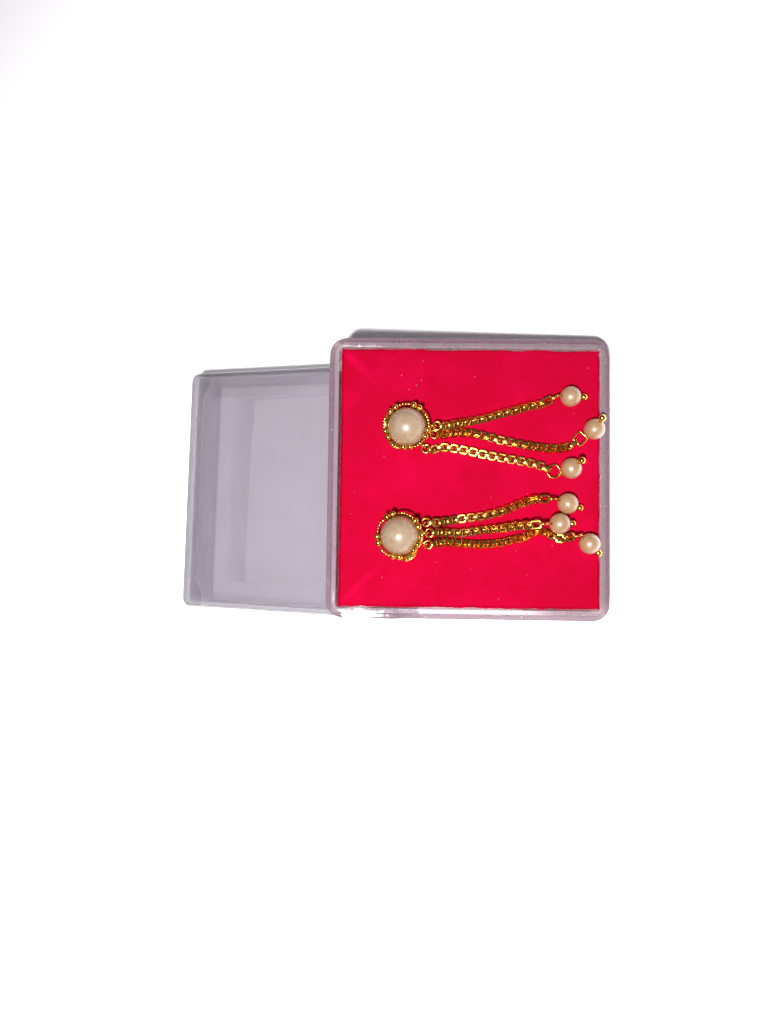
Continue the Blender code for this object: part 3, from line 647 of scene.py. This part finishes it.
def link_tree():
    """Links along a curve: evenly spaced points, each link in line with the curve, every other one turned."""
    tree, given = new_tree("box_chain_links", {"Link": "Object", "Count": "Int", "Start": "Float",
                                               "End": "Float"})
    trimmed = add(tree, "GeometryNodeTrimCurve", {0: given["Geometry"], 4: given["Start"], 5: given["End"]},
                  mode="LENGTH")
    points = add(tree, "GeometryNodeCurveToPoints", {"Curve": trimmed.outputs[0], "Count": given["Count"]},
                 mode="COUNT")
    along = add(tree, "FunctionNodeAlignRotationToVector", {"Vector": points.outputs["Tangent"]}, axis="X")
    level = add(tree, "FunctionNodeAlignRotationToVector",
                {"Rotation": along.outputs[0], "Vector": points.outputs["Normal"]}, axis="Y", pivot_axis="X")
    order = add(tree, "GeometryNodeInputIndex").outputs[0]
    odd = add(tree, "ShaderNodeMath", {0: order, 1: 2.0}, operation="MODULO").outputs[0]
    quarter = add(tree, "ShaderNodeMath", {0: odd, 1: -pi / 2, 2: pi / 2}, operation="MULTIPLY_ADD")
    turn = add(tree, "ShaderNodeCombineXYZ", {"X": quarter.outputs[0]})
    turned = add(tree, "FunctionNodeRotateRotation",
                 {"Rotation": level.outputs[0], "Rotate By": turn.outputs[0]}, rotation_space="LOCAL")
    shape = add(tree, "GeometryNodeObjectInfo", {"Object": given["Link"]})
    links = add(tree, "GeometryNodeInstanceOnPoints",
                {"Points": points.outputs["Points"], "Instance": shape.outputs["Geometry"],
                 "Rotation": turned.outputs[0]})
    end_tree(tree, links.outputs[0], gold())
    return tree


def granule_tree():
    """A polished ball on each point."""
    tree, given = new_tree("granules", {"Radius": "Float"})
    bead = add(tree, "GeometryNodeMeshUVSphere", {"Segments": 24, "Rings": 14, "Radius": given["Radius"]})
    round_bead = add(tree, "GeometryNodeSetShadeSmooth", {"Geometry": bead.outputs["Mesh"]})
    beads = add(tree, "GeometryNodeInstanceOnPoints",
                {"Points": given["Geometry"], "Instance": round_bead.outputs[0]})
    end_tree(tree, beads.outputs[0], gold())
    return tree


def scatter_tree(name, seed, material, lean):
    """Thin tapered fibres strewn over a surface, leaning at random."""
    tree, given = new_tree(name, {"Count": "Float", "Length": "Float", "Thickness": "Float"})
    spread = add(tree, "GeometryNodeDistributePointsOnFaces",
                 {"Mesh": given["Geometry"], "Density": given["Count"], "Seed": seed})
    fibre = add(tree, "GeometryNodeMeshCone",
                {"Vertices": 3, "Side Segments": 1, "Radius Top": 0.0, "Radius Bottom": given["Thickness"],
                 "Depth": given["Length"]})
    tilt = add(tree, "FunctionNodeRandomValue",
               {0: (-lean, -lean, 0.0), 1: (lean, lean, 2 * pi), "Seed": seed + 1}, data_type="FLOAT_VECTOR")
    leaned = add(tree, "FunctionNodeRotateRotation",
                 {"Rotation": spread.outputs["Rotation"], "Rotate By": tilt.outputs[0]},
                 rotation_space="LOCAL")
    size = add(tree, "FunctionNodeRandomValue", {2: 0.45, 3: 1.0, "Seed": seed + 2}, data_type="FLOAT")
    fibres = add(tree, "GeometryNodeInstanceOnPoints",
                 {"Points": spread.outputs["Points"], "Instance": fibre.outputs["Mesh"],
                  "Rotation": leaned.outputs[0], "Scale": size.outputs[1]})
    end_tree(tree, fibres.outputs[0], material)
    return tree


# The box


class EARRINGS_OT_clear_tray(bpy.types.Operator):
    """Moulded tray with its shelf and lip"""

    bl_idname = "earrings.clear_tray"
    bl_label = "Clear tray"

    def execute(self, context):
        box = context.scene.box_sizes
        half = box.side / 2
        lip_half = half - box.shelf
        lip_corner = box.tray_corner - box.shelf
        cavity = lip_half - box.lip
        shelf_z = box.tray_height - box.lip_height
        profile = [
            (half - box.foot, box.tray_corner - box.foot, 0.0, 0.0),
            (half - box.foot / 4, box.tray_corner, box.foot / 4, box.foot),
            (half, box.tray_corner, box.foot, box.edge),
            (half, box.tray_corner, shelf_z, box.edge),
            (lip_half, lip_corner, shelf_z, box.edge / 2),
            (lip_half, lip_corner, box.tray_height, box.edge),
            (cavity, box.cavity_corner, box.tray_height, box.edge),
            (cavity, box.cavity_corner, box.tray_floor, box.edge),
            (cavity - 2 * box.edge, box.cavity_corner, box.tray_floor, 0.0),
        ]
        mesh = square_shell("clear_tray", profile)
        colours = context.scene.finish_colours
        plastic = moulded_polystyrene("tray_polystyrene", colours.tray, 0.6, 0.8)
        tray = true_flats(make_object("clear_tray", mesh, plastic))
        # The outer wall, shelf and the lip's outer side get a darker copy of the plastic: painted shade
        deep = moulded_polystyrene("tray_polystyrene_wall_shade", colours.tray_wall_shade, 0.5, 0.85)
        outside = lip_half - box.edge
        paint_wall_shade(tray.data, deep, lambda face: max(abs(face.center.x), abs(face.center.y)) > outside)
        finish_piece(tray, tray_frame(), "box_base")
        return {"FINISHED"}


class EARRINGS_OT_clear_lid(bpy.types.Operator):
    """Moulded lid with a sloping shoulder round a flat panel, lying closed side up"""

    bl_idname = "earrings.clear_lid"
    bl_label = "Clear lid"

    def execute(self, context):
        box = context.scene.box_sizes
        half = box.side / 2
        inner = half - box.lid_wall
        inner_corner = box.lid_corner - box.lid_wall
        shoulder_z = box.lid_height - box.shoulder_drop
        panel = half - box.shoulder
        profile = [
            (panel - 2 * box.edge, inner_corner, box.lid_height - box.lid_top, 0.0),
            (panel, inner_corner, box.lid_height - box.lid_top, box.edge),
            (inner, inner_corner, shoulder_z - box.lid_top, box.edge * 2),
            (inner, inner_corner, 0.0, box.edge),
            (half, box.lid_corner, 0.0, box.edge),
            (half, box.lid_corner, shoulder_z, box.edge * 3),
            (panel, box.lid_corner, box.lid_height, box.edge),
            (panel - 2 * box.edge, box.lid_corner, box.lid_height, 0.0),
        ]
        mesh = square_shell("clear_lid", profile)
        colours = context.scene.finish_colours
        plastic = moulded_polystyrene("lid_polystyrene", colours.lid, 0.72, 0.62)
        lid = true_flats(make_object("clear_lid", mesh, plastic))
        # The walls, inside and out, get a darker copy of the plastic: painted shade
        deep = moulded_polystyrene("lid_polystyrene_wall_shade", colours.lid_wall_shade, 0.65, 0.75)
        paint_wall_shade(lid.data, deep, lambda face: abs(face.normal.z) < 0.5)
        shorter = Matrix.Scale(box.lid_length / box.side, 4, (1, 0, 0))
        place = lid_frame() @ Matrix.Translation(((box.side - box.lid_length) / 2, 0, 0)) @ shorter
        finish_piece(lid, place, "box_lid")
        return {"FINISHED"}


class EARRINGS_OT_flocked_pad(bpy.types.Operator):
    """Flocked foam pad with cut, ragged edges and a little lint"""

    bl_idname = "earrings.flocked_pad"
    bl_label = "Flocked pad"

    def execute(self, context):
        sizes = context.scene.pad_sizes
        depth = pad_top() - context.scene.box_sizes.tray_floor - sizes.above_floor
        bm = bmesh.new()
        bmesh.ops.create_cube(bm, size=1.0)
        bmesh.ops.subdivide_edges(bm, edges=bm.edges[:], cuts=89, use_grid_fill=True)
        half = sizes.side / 2
        for vert in bm.verts:
            p = Vector((vert.co.x * sizes.side, vert.co.y * sizes.side, (vert.co.z - 0.5) * depth))
            vert.co = p + self.wander(p, half, sizes.ragged)
        material = nylon_flock()
        pad = make_object("flocked_pad", mesh_of(bm, "flocked_pad", 70), material)
        join_mesh(pad.data, self.tufts(half, sizes, material))
        # Painted highlight along the creases, kept on the pad's points for the flock
        crease_highlight = pad.data.attributes.new("crease_highlight", "FLOAT", "POINT")
        crease_highlight.data.foreach_set("value", [self.crease(v.co, half, sizes.crease) for v in pad.data.vertices])
        place = pad_frame() @ Matrix.Translation((sizes.shift, 0, 0))
        finish_piece(pad, place, "insert_pad")
        self.lint(sizes, half, place)
        return {"FINISHED"}

    def wander(self, p, half, ragged):
        """How far a point of the pad's skin strays: up to ragged at the cut edges, a little over the top."""
        wave, nick, swell = 2.2 * MM, 0.7 * MM, 9 * MM
        dip, round_off, proud = 0.1 * MM, 0.15 * MM, 0.08 * MM
        if p.z < -12 * MM:
            return Vector((0, 0, 0))
        move = Vector((0, 0, 1.2 * dip * noise.noise(p / swell) - dip))
        outward = Vector([c if abs(c) / half > 0.999 else 0 for c in p.xy] + [0])
        if outward.length:
            cut = ragged * noise.noise(p / wave) + 0.5 * ragged * noise.noise(p / nick)
            move += outward.normalized() * min(cut - 0.3 * ragged, proud)
            if p.z > -0.2 * MM:
                move.z -= round_off
        return move

    def crease(self, p, half, reach):
        """How much painted highlight lies along the two creases that run in from the corners by the lid."""
        along = (p.x + 2 * half - abs(p.y)) / 2
        aside = (p.x + abs(p.y)) / sqrt(2)
        fade = min(max(1.2 - along / reach, 0), 1) * min(along / (2 * MM), 1)
        return fade * np.exp(-((aside / (0.8 * MM)) ** 2))

    def tufts(self, half, sizes, material):
        """Tufts of fibre along the top edges, where the knife left them."""
        bm = bmesh.new()
        wide = 0.5 * MM
        for quarter in range(4):
            turn = Matrix.Rotation(quarter * pi / 2, 4, "Z")
            corners = [(half - wide, -half, 0), (half - 0.25 * MM, -half, -0.1 * MM),
                       (half - 0.25 * MM, half, -0.1 * MM), (half - wide, half, 0)]
            bm.faces.new([bm.verts.new(turn @ Vector(c)) for c in corners])
        area = sum(f.calc_area() for f in bm.faces)
        edge_strip = make_object("edge_strip", mesh_of(bm, "edge_strip"))
        tree = scatter_tree("edge_tufts", 3, material, 1.0)
        mesh = run_tree(edge_strip, tree, {"Count": sizes.tufts / area, "Length": sizes.fibre,
                                           "Thickness": 0.06 * MM})
        return mesh

    def lint(self, sizes, half, place):
        bm = bmesh.new()
        bmesh.ops.create_grid(bm, x_segments=1, y_segments=1, size=half * 0.96)
        sheet = make_object("lint_sheet", mesh_of(bm, "lint_sheet"))
        tree = scatter_tree("pad_lint", 11, cotton_lint(), 1.5)
        mesh = run_tree(sheet, tree, {"Count": sizes.lint / (4 * half * half * 0.92), "Length": 0.55 * MM,
                                      "Thickness": 0.09 * MM})
        lint = make_object("pad_lint", mesh)
        finish_piece(lint, place @ Matrix.Translation((0, 0, 0.1 * MM)), None)


# The earrings


def pearl_z(sizes):
    """Height of the large pearl's middle over the setting's foot."""
    return sizes.cup_floor + sizes.gap + sizes.pearl_depth


def cup_radius(sizes):
    return sizes.pearl + sizes.gap + sizes.cup_wall


def setting_place(earring, sizes):
    """Where the setting's own frame lies on the pad, leaning and lifted so that its foot clears it."""
    lean = radians(earring["tilt"])
    axis = Matrix.Rotation(radians(earring["tilt_bearing"]) + pi / 2, 3, "Z") @ Vector((1, 0, 0))
    foot = sqrt(cup_radius(sizes) ** 2 - pearl_z(sizes) ** 2)
    x, y = earring["at"]
    return Matrix.Translation((x * MM, y * MM, sizes.gap + foot * sin(lean))) @ Matrix.Rotation(lean, 4, axis)


def eye_centre(bearing, height, sizes):
    wall = sqrt(cup_radius(sizes) ** 2 - (pearl_z(sizes) - height) ** 2)
    return polar(wall + sizes.eye, bearing, height)


def arc(radius, start, end, steps, centre_z):
    """Profile points on a sphere between two angles from its top, in degrees."""
    return [(radius * sin(radians(a)), centre_z + radius * cos(radians(a)))
            for a in np.linspace(start, end, steps + 1)]


class EARRINGS_OT_flower_settings(bpy.types.Operator):
    """Cups with petals, claws, granules, chain eyes and ear posts"""

    bl_idname = "earrings.flower_settings"
    bl_label = "Flower settings"

    def execute(self, context):
        sizes = context.scene.earring_sizes
        granules = granule_tree()
        for side, earring in EARRINGS.items():
            name = f"flower_setting_{side}"
            bm = bmesh.new()
            self.cup(bm, sizes)
            claws = earring["claws"]
            for bearing, following, width in zip(claws, claws[1:] + claws[:1], earring["bands"]):
                self.claw(bm, bearing, sizes)
                self.petal(bm, bearing, (following - bearing) % 360, width * MM, sizes)
            for bearing, height in earring["eyes"]:
                wire_ring(bm, eye_centre(bearing, height * MM, sizes), polar(1, bearing + 90), sizes.eye,
                          sizes.eye_wire)
            setting = make_object(name + "_finished", mesh_of(bm, name), gold())
            join_mesh(setting.data, self.granules(claws, granules, sizes))
            finish_piece(setting, pad_frame() @ setting_place(earring, sizes), name)
        return {"FINISHED"}

    def cup(self, bm, sizes):
        """The round cup under the petals, with its floor and the post."""
        outer = cup_radius(sizes)
        middle = pearl_z(sizes)
        rim = 90 + np.degrees(np.arcsin(sizes.rim_drop / outer))
        foot = 180 - np.degrees(np.arccos(middle / outer))
        inner_foot = 180 - np.degrees(np.arccos((middle - sizes.cup_floor) / (outer - sizes.cup_wall)))
        profile = [(0.0, sizes.cup_floor)]
        profile += arc(outer - sizes.cup_wall, inner_foot, rim, 8, middle)
        profile += arc(outer, rim, foot, 8, middle)
        profile += [(sizes.post, 0.0), (sizes.post, -sizes.post_length), (0.0, -sizes.post_length)]
        lathe(bm, profile, 48)

    def claw(self, bm, bearing, sizes):
        """A flat prong that follows the pearl from the cup up to its granules."""
        middle = pearl_z(sizes)
        radius = cup_radius(sizes) - sizes.cup_wall / 4
        top = np.degrees(np.arcsin(sizes.claw_rise / radius))
        path = [polar(radius * cos(radians(a)), bearing, middle + radius * sin(radians(a)))
                for a in np.linspace(-22, top, 9)]
        out = [(p - Vector((0, 0, middle))).normalized() for p in path]
        width = [sizes.claw * (1.25 - 0.45 * i / 8) for i in range(9)]
        sweep(bm, path, width, [sizes.cup_wall / 2] * 9, out, 12, 0.7)

    def petal(self, bm, start, span, width, sizes):
        """The beaded wire that arches from claw to claw on its two stems, with a plate inside a broad one."""
        middle = pearl_z(sizes)
        radius = cup_radius(sizes) - sizes.cup_wall / 2
        beads = max(3, round(radius * radians(span) / sizes.bead))
        steps = 10 * beads
        wire = []
        plate = []
        out = []
        for i in range(steps + 1):
            share = i / steps
            bow = sin(pi * share)
            bearing = start + span * share
            rise = sizes.arch_rise * bow - sizes.cup_wall
            broad = 2 * (width - sizes.arch_thin) * bow
            wire.append(polar(radius + broad, bearing, middle + rise))
            plate.append(polar(radius + broad / 2, bearing, middle + rise - sizes.arch_thin))
            out.append((polar(0.9, bearing) + UP).normalized())
        swell = [sizes.arch_thin * (0.62 + 0.38 * abs(sin(pi * i / 10))) for i in range(steps + 1)]
        sweep(bm, wire, swell, swell, out, 12)
        if width > 1.5 * sizes.arch_thin:
            widths = [sizes.arch_thin + (width - sizes.arch_thin) * sin(pi * i / steps)
                      for i in range(steps + 1)]
            sweep(bm, plate, widths, [sizes.arch_thin / 2] * (steps + 1), UP, 12, 0.6)
        self.stems(bm, wire, start, span, sizes)

    def stems(self, bm, wire, start, span, sizes):
        """A flat stem at each end of the petal, from the cup's rim up to its wire."""
        middle = pearl_z(sizes)
        foot_r = sqrt((cup_radius(sizes) - sizes.cup_wall / 2) ** 2 - sizes.rim_drop**2)
        last = len(wire) - 1
        for i in (last // 9, last - last // 9):
            foot = polar(foot_r, start + span * i / last, middle - sizes.rim_drop)
            path = [foot.lerp(wire[i], t) for t in np.linspace(0, 1, 6)]
            out = polar(1, start + span * i / last)
            sweep(bm, path, [sizes.arch_thin * 1.2] * 6, [sizes.arch_thin * 0.6] * 6, out, 10, 0.8)

    def granules(self, claws, tree, sizes):
        """Two polished balls side by side on the tip of each claw."""
        reach_r = sizes.pearl + sizes.granule
        reach = sqrt(reach_r**2 - sizes.granule_rise**2 - sizes.granule_spread**2)
        places = []
        for bearing in claws:
            centre = polar(reach, bearing, pearl_z(sizes) + sizes.granule_rise)
            side = polar(sizes.granule_spread, bearing + 90)
            places += [centre + side, centre - side]
        mesh = bpy.data.meshes.new("granule_places")
        mesh.from_pydata(places, [], [])
        return run_tree(make_object("granule_places", mesh), tree, {"Radius": sizes.granule})


class EARRINGS_OT_large_pearls(bpy.types.Operator):
    """The large pearls in their settings"""

    bl_idname = "earrings.large_pearls"
    bl_label = "Large pearls"

    def execute(self, context):
        sizes = context.scene.earring_sizes
        colours = context.scene.finish_colours
        middle = pearl_z(sizes)
        flat = 180 - np.degrees(np.arccos(sizes.pearl_depth / sizes.pearl))
        profile = arc(sizes.pearl, 0, flat, 40, middle)
        profile[0] = (0.0, middle + sizes.pearl)
        profile.append((0.0, middle - sizes.pearl_depth))
        material = pearl_coat("cream_pearl_lacquer", colours.cream, colours.cream_warm, 0.3, 1.6)
        for side, earring in EARRINGS.items():
            bm = bmesh.new()
            lathe(bm, profile, 72)
            node = f"pearl_cabochon_{side}"
            pearl = make_object(node + "_finished", mesh_of(bm, node), material)
            finish_piece(pearl, pad_frame() @ setting_place(earring, sizes), node)
        return {"FINISHED"}


# The strands and their drops


def across(normal, direction):
    """The unit part of a direction that lies square to a normal."""
    return (direction - direction.dot(normal) * normal).normalized()


def drop_places(key, sizes):
    """Places and directions of one drop: pearl, neck, eye loop and the chain's last link."""
    drop = DROPS[key]
    x, y = drop["at"]
    centre = Vector((x * MM, y * MM, sizes.rest + sizes.pearl + drop["lift"] * MM))
    bearing, rise = drop["head"]
    outward = polar(cos(radians(rise)), bearing, sin(radians(rise)))
    neck = centre - (sizes.pearl + sizes.neck) * outward
    loop_r = drop["loop"] * MM
    if "lies" in drop:
        normal = UP
        hook = polar(1, drop["hook"])
        x, y = drop["lies"]
        middle = Vector((x * MM, y * MM, sizes.rest + sizes.width / 2))
    else:
        target = Vector(ROUTES[key][-1]) * MM
        level = Vector((target.x - neck.x, target.y - neck.y, 0)).normalized()
        normal = level.cross(UP)
        middle = neck + loop_r * (across(normal, -outward) + across(normal, target - neck)).normalized()
        hook = across(normal, target - middle)
    reach = sizes.last_link / 2 - sizes.band - sizes.play - sizes.pin
    return {"centre": centre, "outward": outward, "neck": neck, "middle": middle, "normal": normal,
            "hook": hook, "last": middle + (loop_r + reach) * hook}


def smooth_route(points, samples=40):
    """A dense smooth line through chosen points."""
    padded = [2 * points[0] - points[1]] + points + [2 * points[-1] - points[-2]]
    dense = []
    for p0, p1, p2, p3 in zip(padded, padded[1:], padded[2:], padded[3:]):
        for step in range(samples):
            t = step / samples
            dense.append(p1 + (p2 - p0) * (t / 2) + (2 * p0 - 5 * p1 + 4 * p2 - p3) * (t**2 / 2)
                         + (3 * p1 - p0 - 3 * p2 + p3) * (t**3 / 2))
    return dense + [points[-1]]


def link_mesh(link_length, sizes):
    """One link: flat strip bent into a rounded square. X is along the chain, Z the strip's width."""
    bm = bmesh.new()
    half_x = (link_length - sizes.band) / 2
    half_y = (sizes.width - sizes.band) / 2
    corner = min(half_x, half_y) * 0.42
    path = []
    for quarter, (sx, sy) in enumerate(((1, 1), (-1, 1), (-1, -1), (1, -1))):
        for step in range(4):
            angle = (quarter + step / 3) * pi / 2
            path.append(Vector((sx * (half_x - corner) + corner * cos(angle),
                                sy * (half_y - corner) + corner * sin(angle), 0)))
    count = len(path)
    sweep(bm, path, [sizes.band / 2] * count, [sizes.strip / 2] * count, UP, 12, 0.3, closed=True)
    return mesh_of(bm, "link", 35)


class EARRINGS_OT_box_chains(bpy.types.Operator):
    """Six strands of box chain, each with its end ring and the long link at its drop"""

    bl_idname = "earrings.box_chains"
    bl_label = "Box chains"

    def execute(self, context):
        tree = link_tree()
        for side, earring in EARRINGS.items():
            for number, eye in enumerate(earring["eyes"], start=1):
                self.strand(context, f"{side}{number}", earring, eye, tree)
        return {"FINISHED"}

    def strand(self, context, key, earring, eye, tree):
        sizes = context.scene.strand_sizes
        bearing, height = eye
        place = setting_place(earring, context.scene.earring_sizes)
        turn = place.to_3x3()
        out = turn @ polar(1, bearing)
        eye_point = place @ eye_centre(bearing, height * MM, context.scene.earring_sizes)
        first = eye_point + out * (sizes.ring + context.scene.earring_sizes.eye_wire / 2)
        drop = drop_places(key, sizes)
        line = smooth_route([first] + [Vector(p) * MM for p in ROUTES[key]] + [drop["last"]])
        whole = sum((b - a).length for a, b in zip(line, line[1:]))
        hole = sizes.ring - sizes.ring_wire
        ends = hole + sizes.last_link / 2 - sizes.band + sizes.seat
        count = 2 * round((whole - ends) / sizes.pitch / 2) + ("lies" not in DROPS[key])
        pitch = (whole - ends) / count
        link_length = pitch + 2 * sizes.band - sizes.seat
        start = hole + link_length / 2 - sizes.band + sizes.seat
        link = make_object("link", link_mesh(link_length, sizes))
        curve = bpy.data.curves.new("strand_line", "CURVE")
        curve.dimensions = "3D"
        spline = curve.splines.new("POLY")
        spline.points.add(len(line) - 1)
        curve.twist_mode = "Z_UP"
        rolls = ROLLS[key]
        for i, (point, where) in enumerate(zip(spline.points, line)):
            point.co = (*where, 1)
            share = i / (len(line) - 1) * (len(rolls) - 1)
            point.tilt = radians(np.interp(share, range(len(rolls)), rolls))
        strand_line = bpy.data.objects.new("strand_line", curve)
        context.scene.collection.objects.link(strand_line)
        links = run_tree(strand_line, tree, {"Link": link, "Count": count, "Start": start,
                                             "End": start + (count - 1) * pitch})
        bm = bmesh.new()
        bm.from_mesh(links)
        wire_ring(bm, first, turn @ UP, sizes.ring, sizes.ring_wire)
        broad = drop["normal"].cross(drop["hook"])
        add_mesh(bm, link_mesh(sizes.last_link, sizes), placing(drop["last"], drop["hook"], broad))
        bpy.data.objects.remove(link)
        strand = make_object(f"chain_{key}_finished", mesh_of(bm, f"chain_{key}", 35), gold())
        finish_piece(strand, pad_frame(), f"chain_{key}")


class EARRINGS_OT_drop_pins(bpy.types.Operator):
    """Ball pins bent into an eye loop at the chain"""

    bl_idname = "earrings.drop_pins"
    bl_label = "Drop pins"

    def execute(self, context):
        sizes = context.scene.strand_sizes
        for key in DROPS:
            drop = drop_places(key, sizes)
            bm = bmesh.new()
            path = self.wire_path(key, drop, sizes)
            ups = self.carried_ups(path)
            sweep(bm, path, [sizes.pin] * len(path), [sizes.pin] * len(path), ups, 10)
            bore_r = sizes.pin + sizes.bore
            head = sqrt(sizes.pearl**2 - bore_r**2) + sqrt(sizes.ball**2 - bore_r**2) + sizes.bore
            ball(bm, drop["centre"] + head * drop["outward"], sizes.ball)
            pin = make_object(f"drop_pin_{key}_finished", mesh_of(bm, f"drop_pin_{key}"), gold())
            finish_piece(pin, pad_frame(), f"drop_pin_{key}")
        return {"FINISHED"}

    def wire_path(self, key, drop, sizes):
        """From the ball through the pearl, once round the eye loop, and out to the wire's free end."""
        settings = DROPS[key]
        first = across(drop["normal"], drop["neck"] - drop["middle"])
        second = drop["normal"].cross(first)
        path = [drop["centre"] + sizes.pearl * drop["outward"], drop["centre"],
                drop["neck"].lerp(drop["centre"], 0.2), drop["neck"]]
        steps = 32
        for i in range(steps):
            angle = 2 * pi * i / steps
            squash = (abs(cos(angle)) + abs(sin(angle))) ** -settings["kink"]
            reach = settings["loop"] * MM * squash
            path.append(drop["middle"] + reach * (cos(angle) * first + sin(angle) * second))
        if (path[4] - path[3]).length < 2 * sizes.pin:
            del path[4]
        onward = (path[-1] - path[-2]).normalized()
        lift = drop["normal"] * sizes.pin * 1.2
        path.append(path[-1] + onward * settings["tail"] * MM / 2 + lift)
        path.append(path[-2] + onward * settings["tail"] * MM + lift)
        return path

    def carried_ups(self, path):
        """A direction across the wire at each point, carried along it without twist."""
        up = (path[1] - path[0]).orthogonal().normalized()
        ups = []
        for before, after in zip(path[:1] + path, path[1:] + path[-1:]):
            tangent = (after - before).normalized()
            up = (up - up.dot(tangent) * tangent).normalized()
            ups.append(up.copy())
        return ups


class EARRINGS_OT_drop_pearls(bpy.types.Operator):
    """Six small pearls bored through for their pins"""

    bl_idname = "earrings.drop_pearls"
    bl_label = "Drop pearls"

    def execute(self, context):
        sizes = context.scene.strand_sizes
        colours = context.scene.finish_colours
        material = pearl_coat("champagne_pearl_lacquer", colours.tan, colours.tan_deep, 0.36, 1.9)
        bore = sizes.pin + sizes.bore / 2
        edge = np.degrees(np.arcsin((bore + sizes.bore) / sizes.pearl))
        for key in DROPS:
            drop = drop_places(key, sizes)
            skin = arc(sizes.pearl, edge, 180 - edge, 30, 0.0)
            top = sqrt(sizes.pearl**2 - bore**2) - sizes.bore
            profile = [(bore, -top), (bore, top)] + skin + [(bore, -top)]
            bm = bmesh.new()
            lathe(bm, profile, 48, placing(drop["centre"], drop["outward"].orthogonal(), drop["outward"]))
            bmesh.ops.remove_doubles(bm, verts=bm.verts[:], dist=0.001 * MM)
            node = f"drop_pearl_{key}"
            pearl = make_object(node + "_finished", mesh_of(bm, node), material)
            finish_piece(pearl, pad_frame(), node)
        return {"FINISHED"}


# The stage


class EARRINGS_OT_stage(bpy.types.Operator):
    """Pale table, soft lamps and the camera over the box"""

    bl_idname = "earrings.stage"
    bl_label = "Stage"

    def execute(self, context):
        scene = context.scene
        bm = bmesh.new()
        bmesh.ops.create_grid(bm, x_segments=2, y_segments=2, size=1.5)
        floor = make_object("table", mesh_of(bm, "table"), painted_table())

        world = bpy.data.worlds.new("studio")
        world.use_nodes = True
        sky = world.node_tree.nodes["Background"]
        sky.inputs["Color"].default_value = (1.0, 0.88, 0.97, 1)
        sky.inputs["Strength"].default_value = 0.1
        scene.world = world

        middle = Vector((0.012, 0, 0.02))
        # One compact lamp just below the lens, and one more there that lights the table alone
        near = Vector((0.069, -0.060, 0.275))
        self.lamp("key", near, middle, 0.9)
        table_lamp = self.lamp("table_lamp", near, middle, 1.8)
        lit = bpy.data.collections.new("table_only")
        lit.objects.link(floor)
        table_lamp.light_linking.receiver_collection = lit
        scene.view_settings.view_transform = "Standard"

        camera_data = bpy.data.cameras.new("camera")
        camera_data.lens = 27.03
        camera_data.sensor_width = 36.0
        camera_data.clip_start = 0.005
        camera = bpy.data.objects.new("camera", camera_data)
        scene.collection.objects.link(camera)
        # Seen from above the tray, leaning left, at hand's distance
        camera.location = tray_frame() @ (Vector((-15.98, -16.76, 192.12)) * MM)
        camera.rotation_euler = (radians(3.08), radians(19.54), radians(0.84))
        scene.camera = camera
        return {"FINISHED"}

    def lamp(self, name, where, target, watts):
        light = bpy.data.lights.new(name, "AREA")
        light.size = 0.018
        light.energy = watts
        item = bpy.data.objects.new(name, light)
        bpy.context.scene.collection.objects.link(item)
        item.location = where
        item.rotation_euler = (target - where).to_track_quat("-Z", "Y").to_euler()
        return item


class EARRINGS_PT_panel(bpy.types.Panel):
    """The pieces, in the order they are made"""

    bl_idname = "EARRINGS_PT_panel"
    bl_label = "Pearl drop earrings"
    bl_space_type = "VIEW_3D"
    bl_region_type = "UI"
    bl_category = "Earrings"

    def draw(self, context):
        for operator in OPERATORS:
            self.layout.operator(operator.bl_idname)
        for name, group in SETTINGS.items():
            column = self.layout.column()
            column.label(text=name.replace("_", " ").capitalize())
            for prop in group.__annotations__:
                column.prop(getattr(context.scene, name), prop)


OPERATORS = (
    EARRINGS_OT_stage,
    EARRINGS_OT_clear_tray,
    EARRINGS_OT_clear_lid,
    EARRINGS_OT_flocked_pad,
    EARRINGS_OT_flower_settings,
    EARRINGS_OT_large_pearls,
    EARRINGS_OT_box_chains,
    EARRINGS_OT_drop_pins,
    EARRINGS_OT_drop_pearls,
)


def register():
    for name, group in SETTINGS.items():
        bpy.utils.register_class(group)
        setattr(bpy.types.Scene, name, PointerProperty(type=group))
    for item in OPERATORS + (EARRINGS_PT_panel,):
        bpy.utils.register_class(item)


def unregister():
    for item in (EARRINGS_PT_panel,) + OPERATORS[::-1]:
        bpy.utils.unregister_class(item)
    for name, group in SETTINGS.items():
        delattr(bpy.types.Scene, name)
        bpy.utils.unregister_class(group)


def corners(bounds):
    return [[float(c) for c in corner] for corner in bounds]


def main():
    register()
    for operator in OPERATORS:
        group, action = operator.bl_idname.split(".")
        getattr(getattr(bpy.ops, group), action)()
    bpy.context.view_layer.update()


if __name__ == "__main__":
    main()
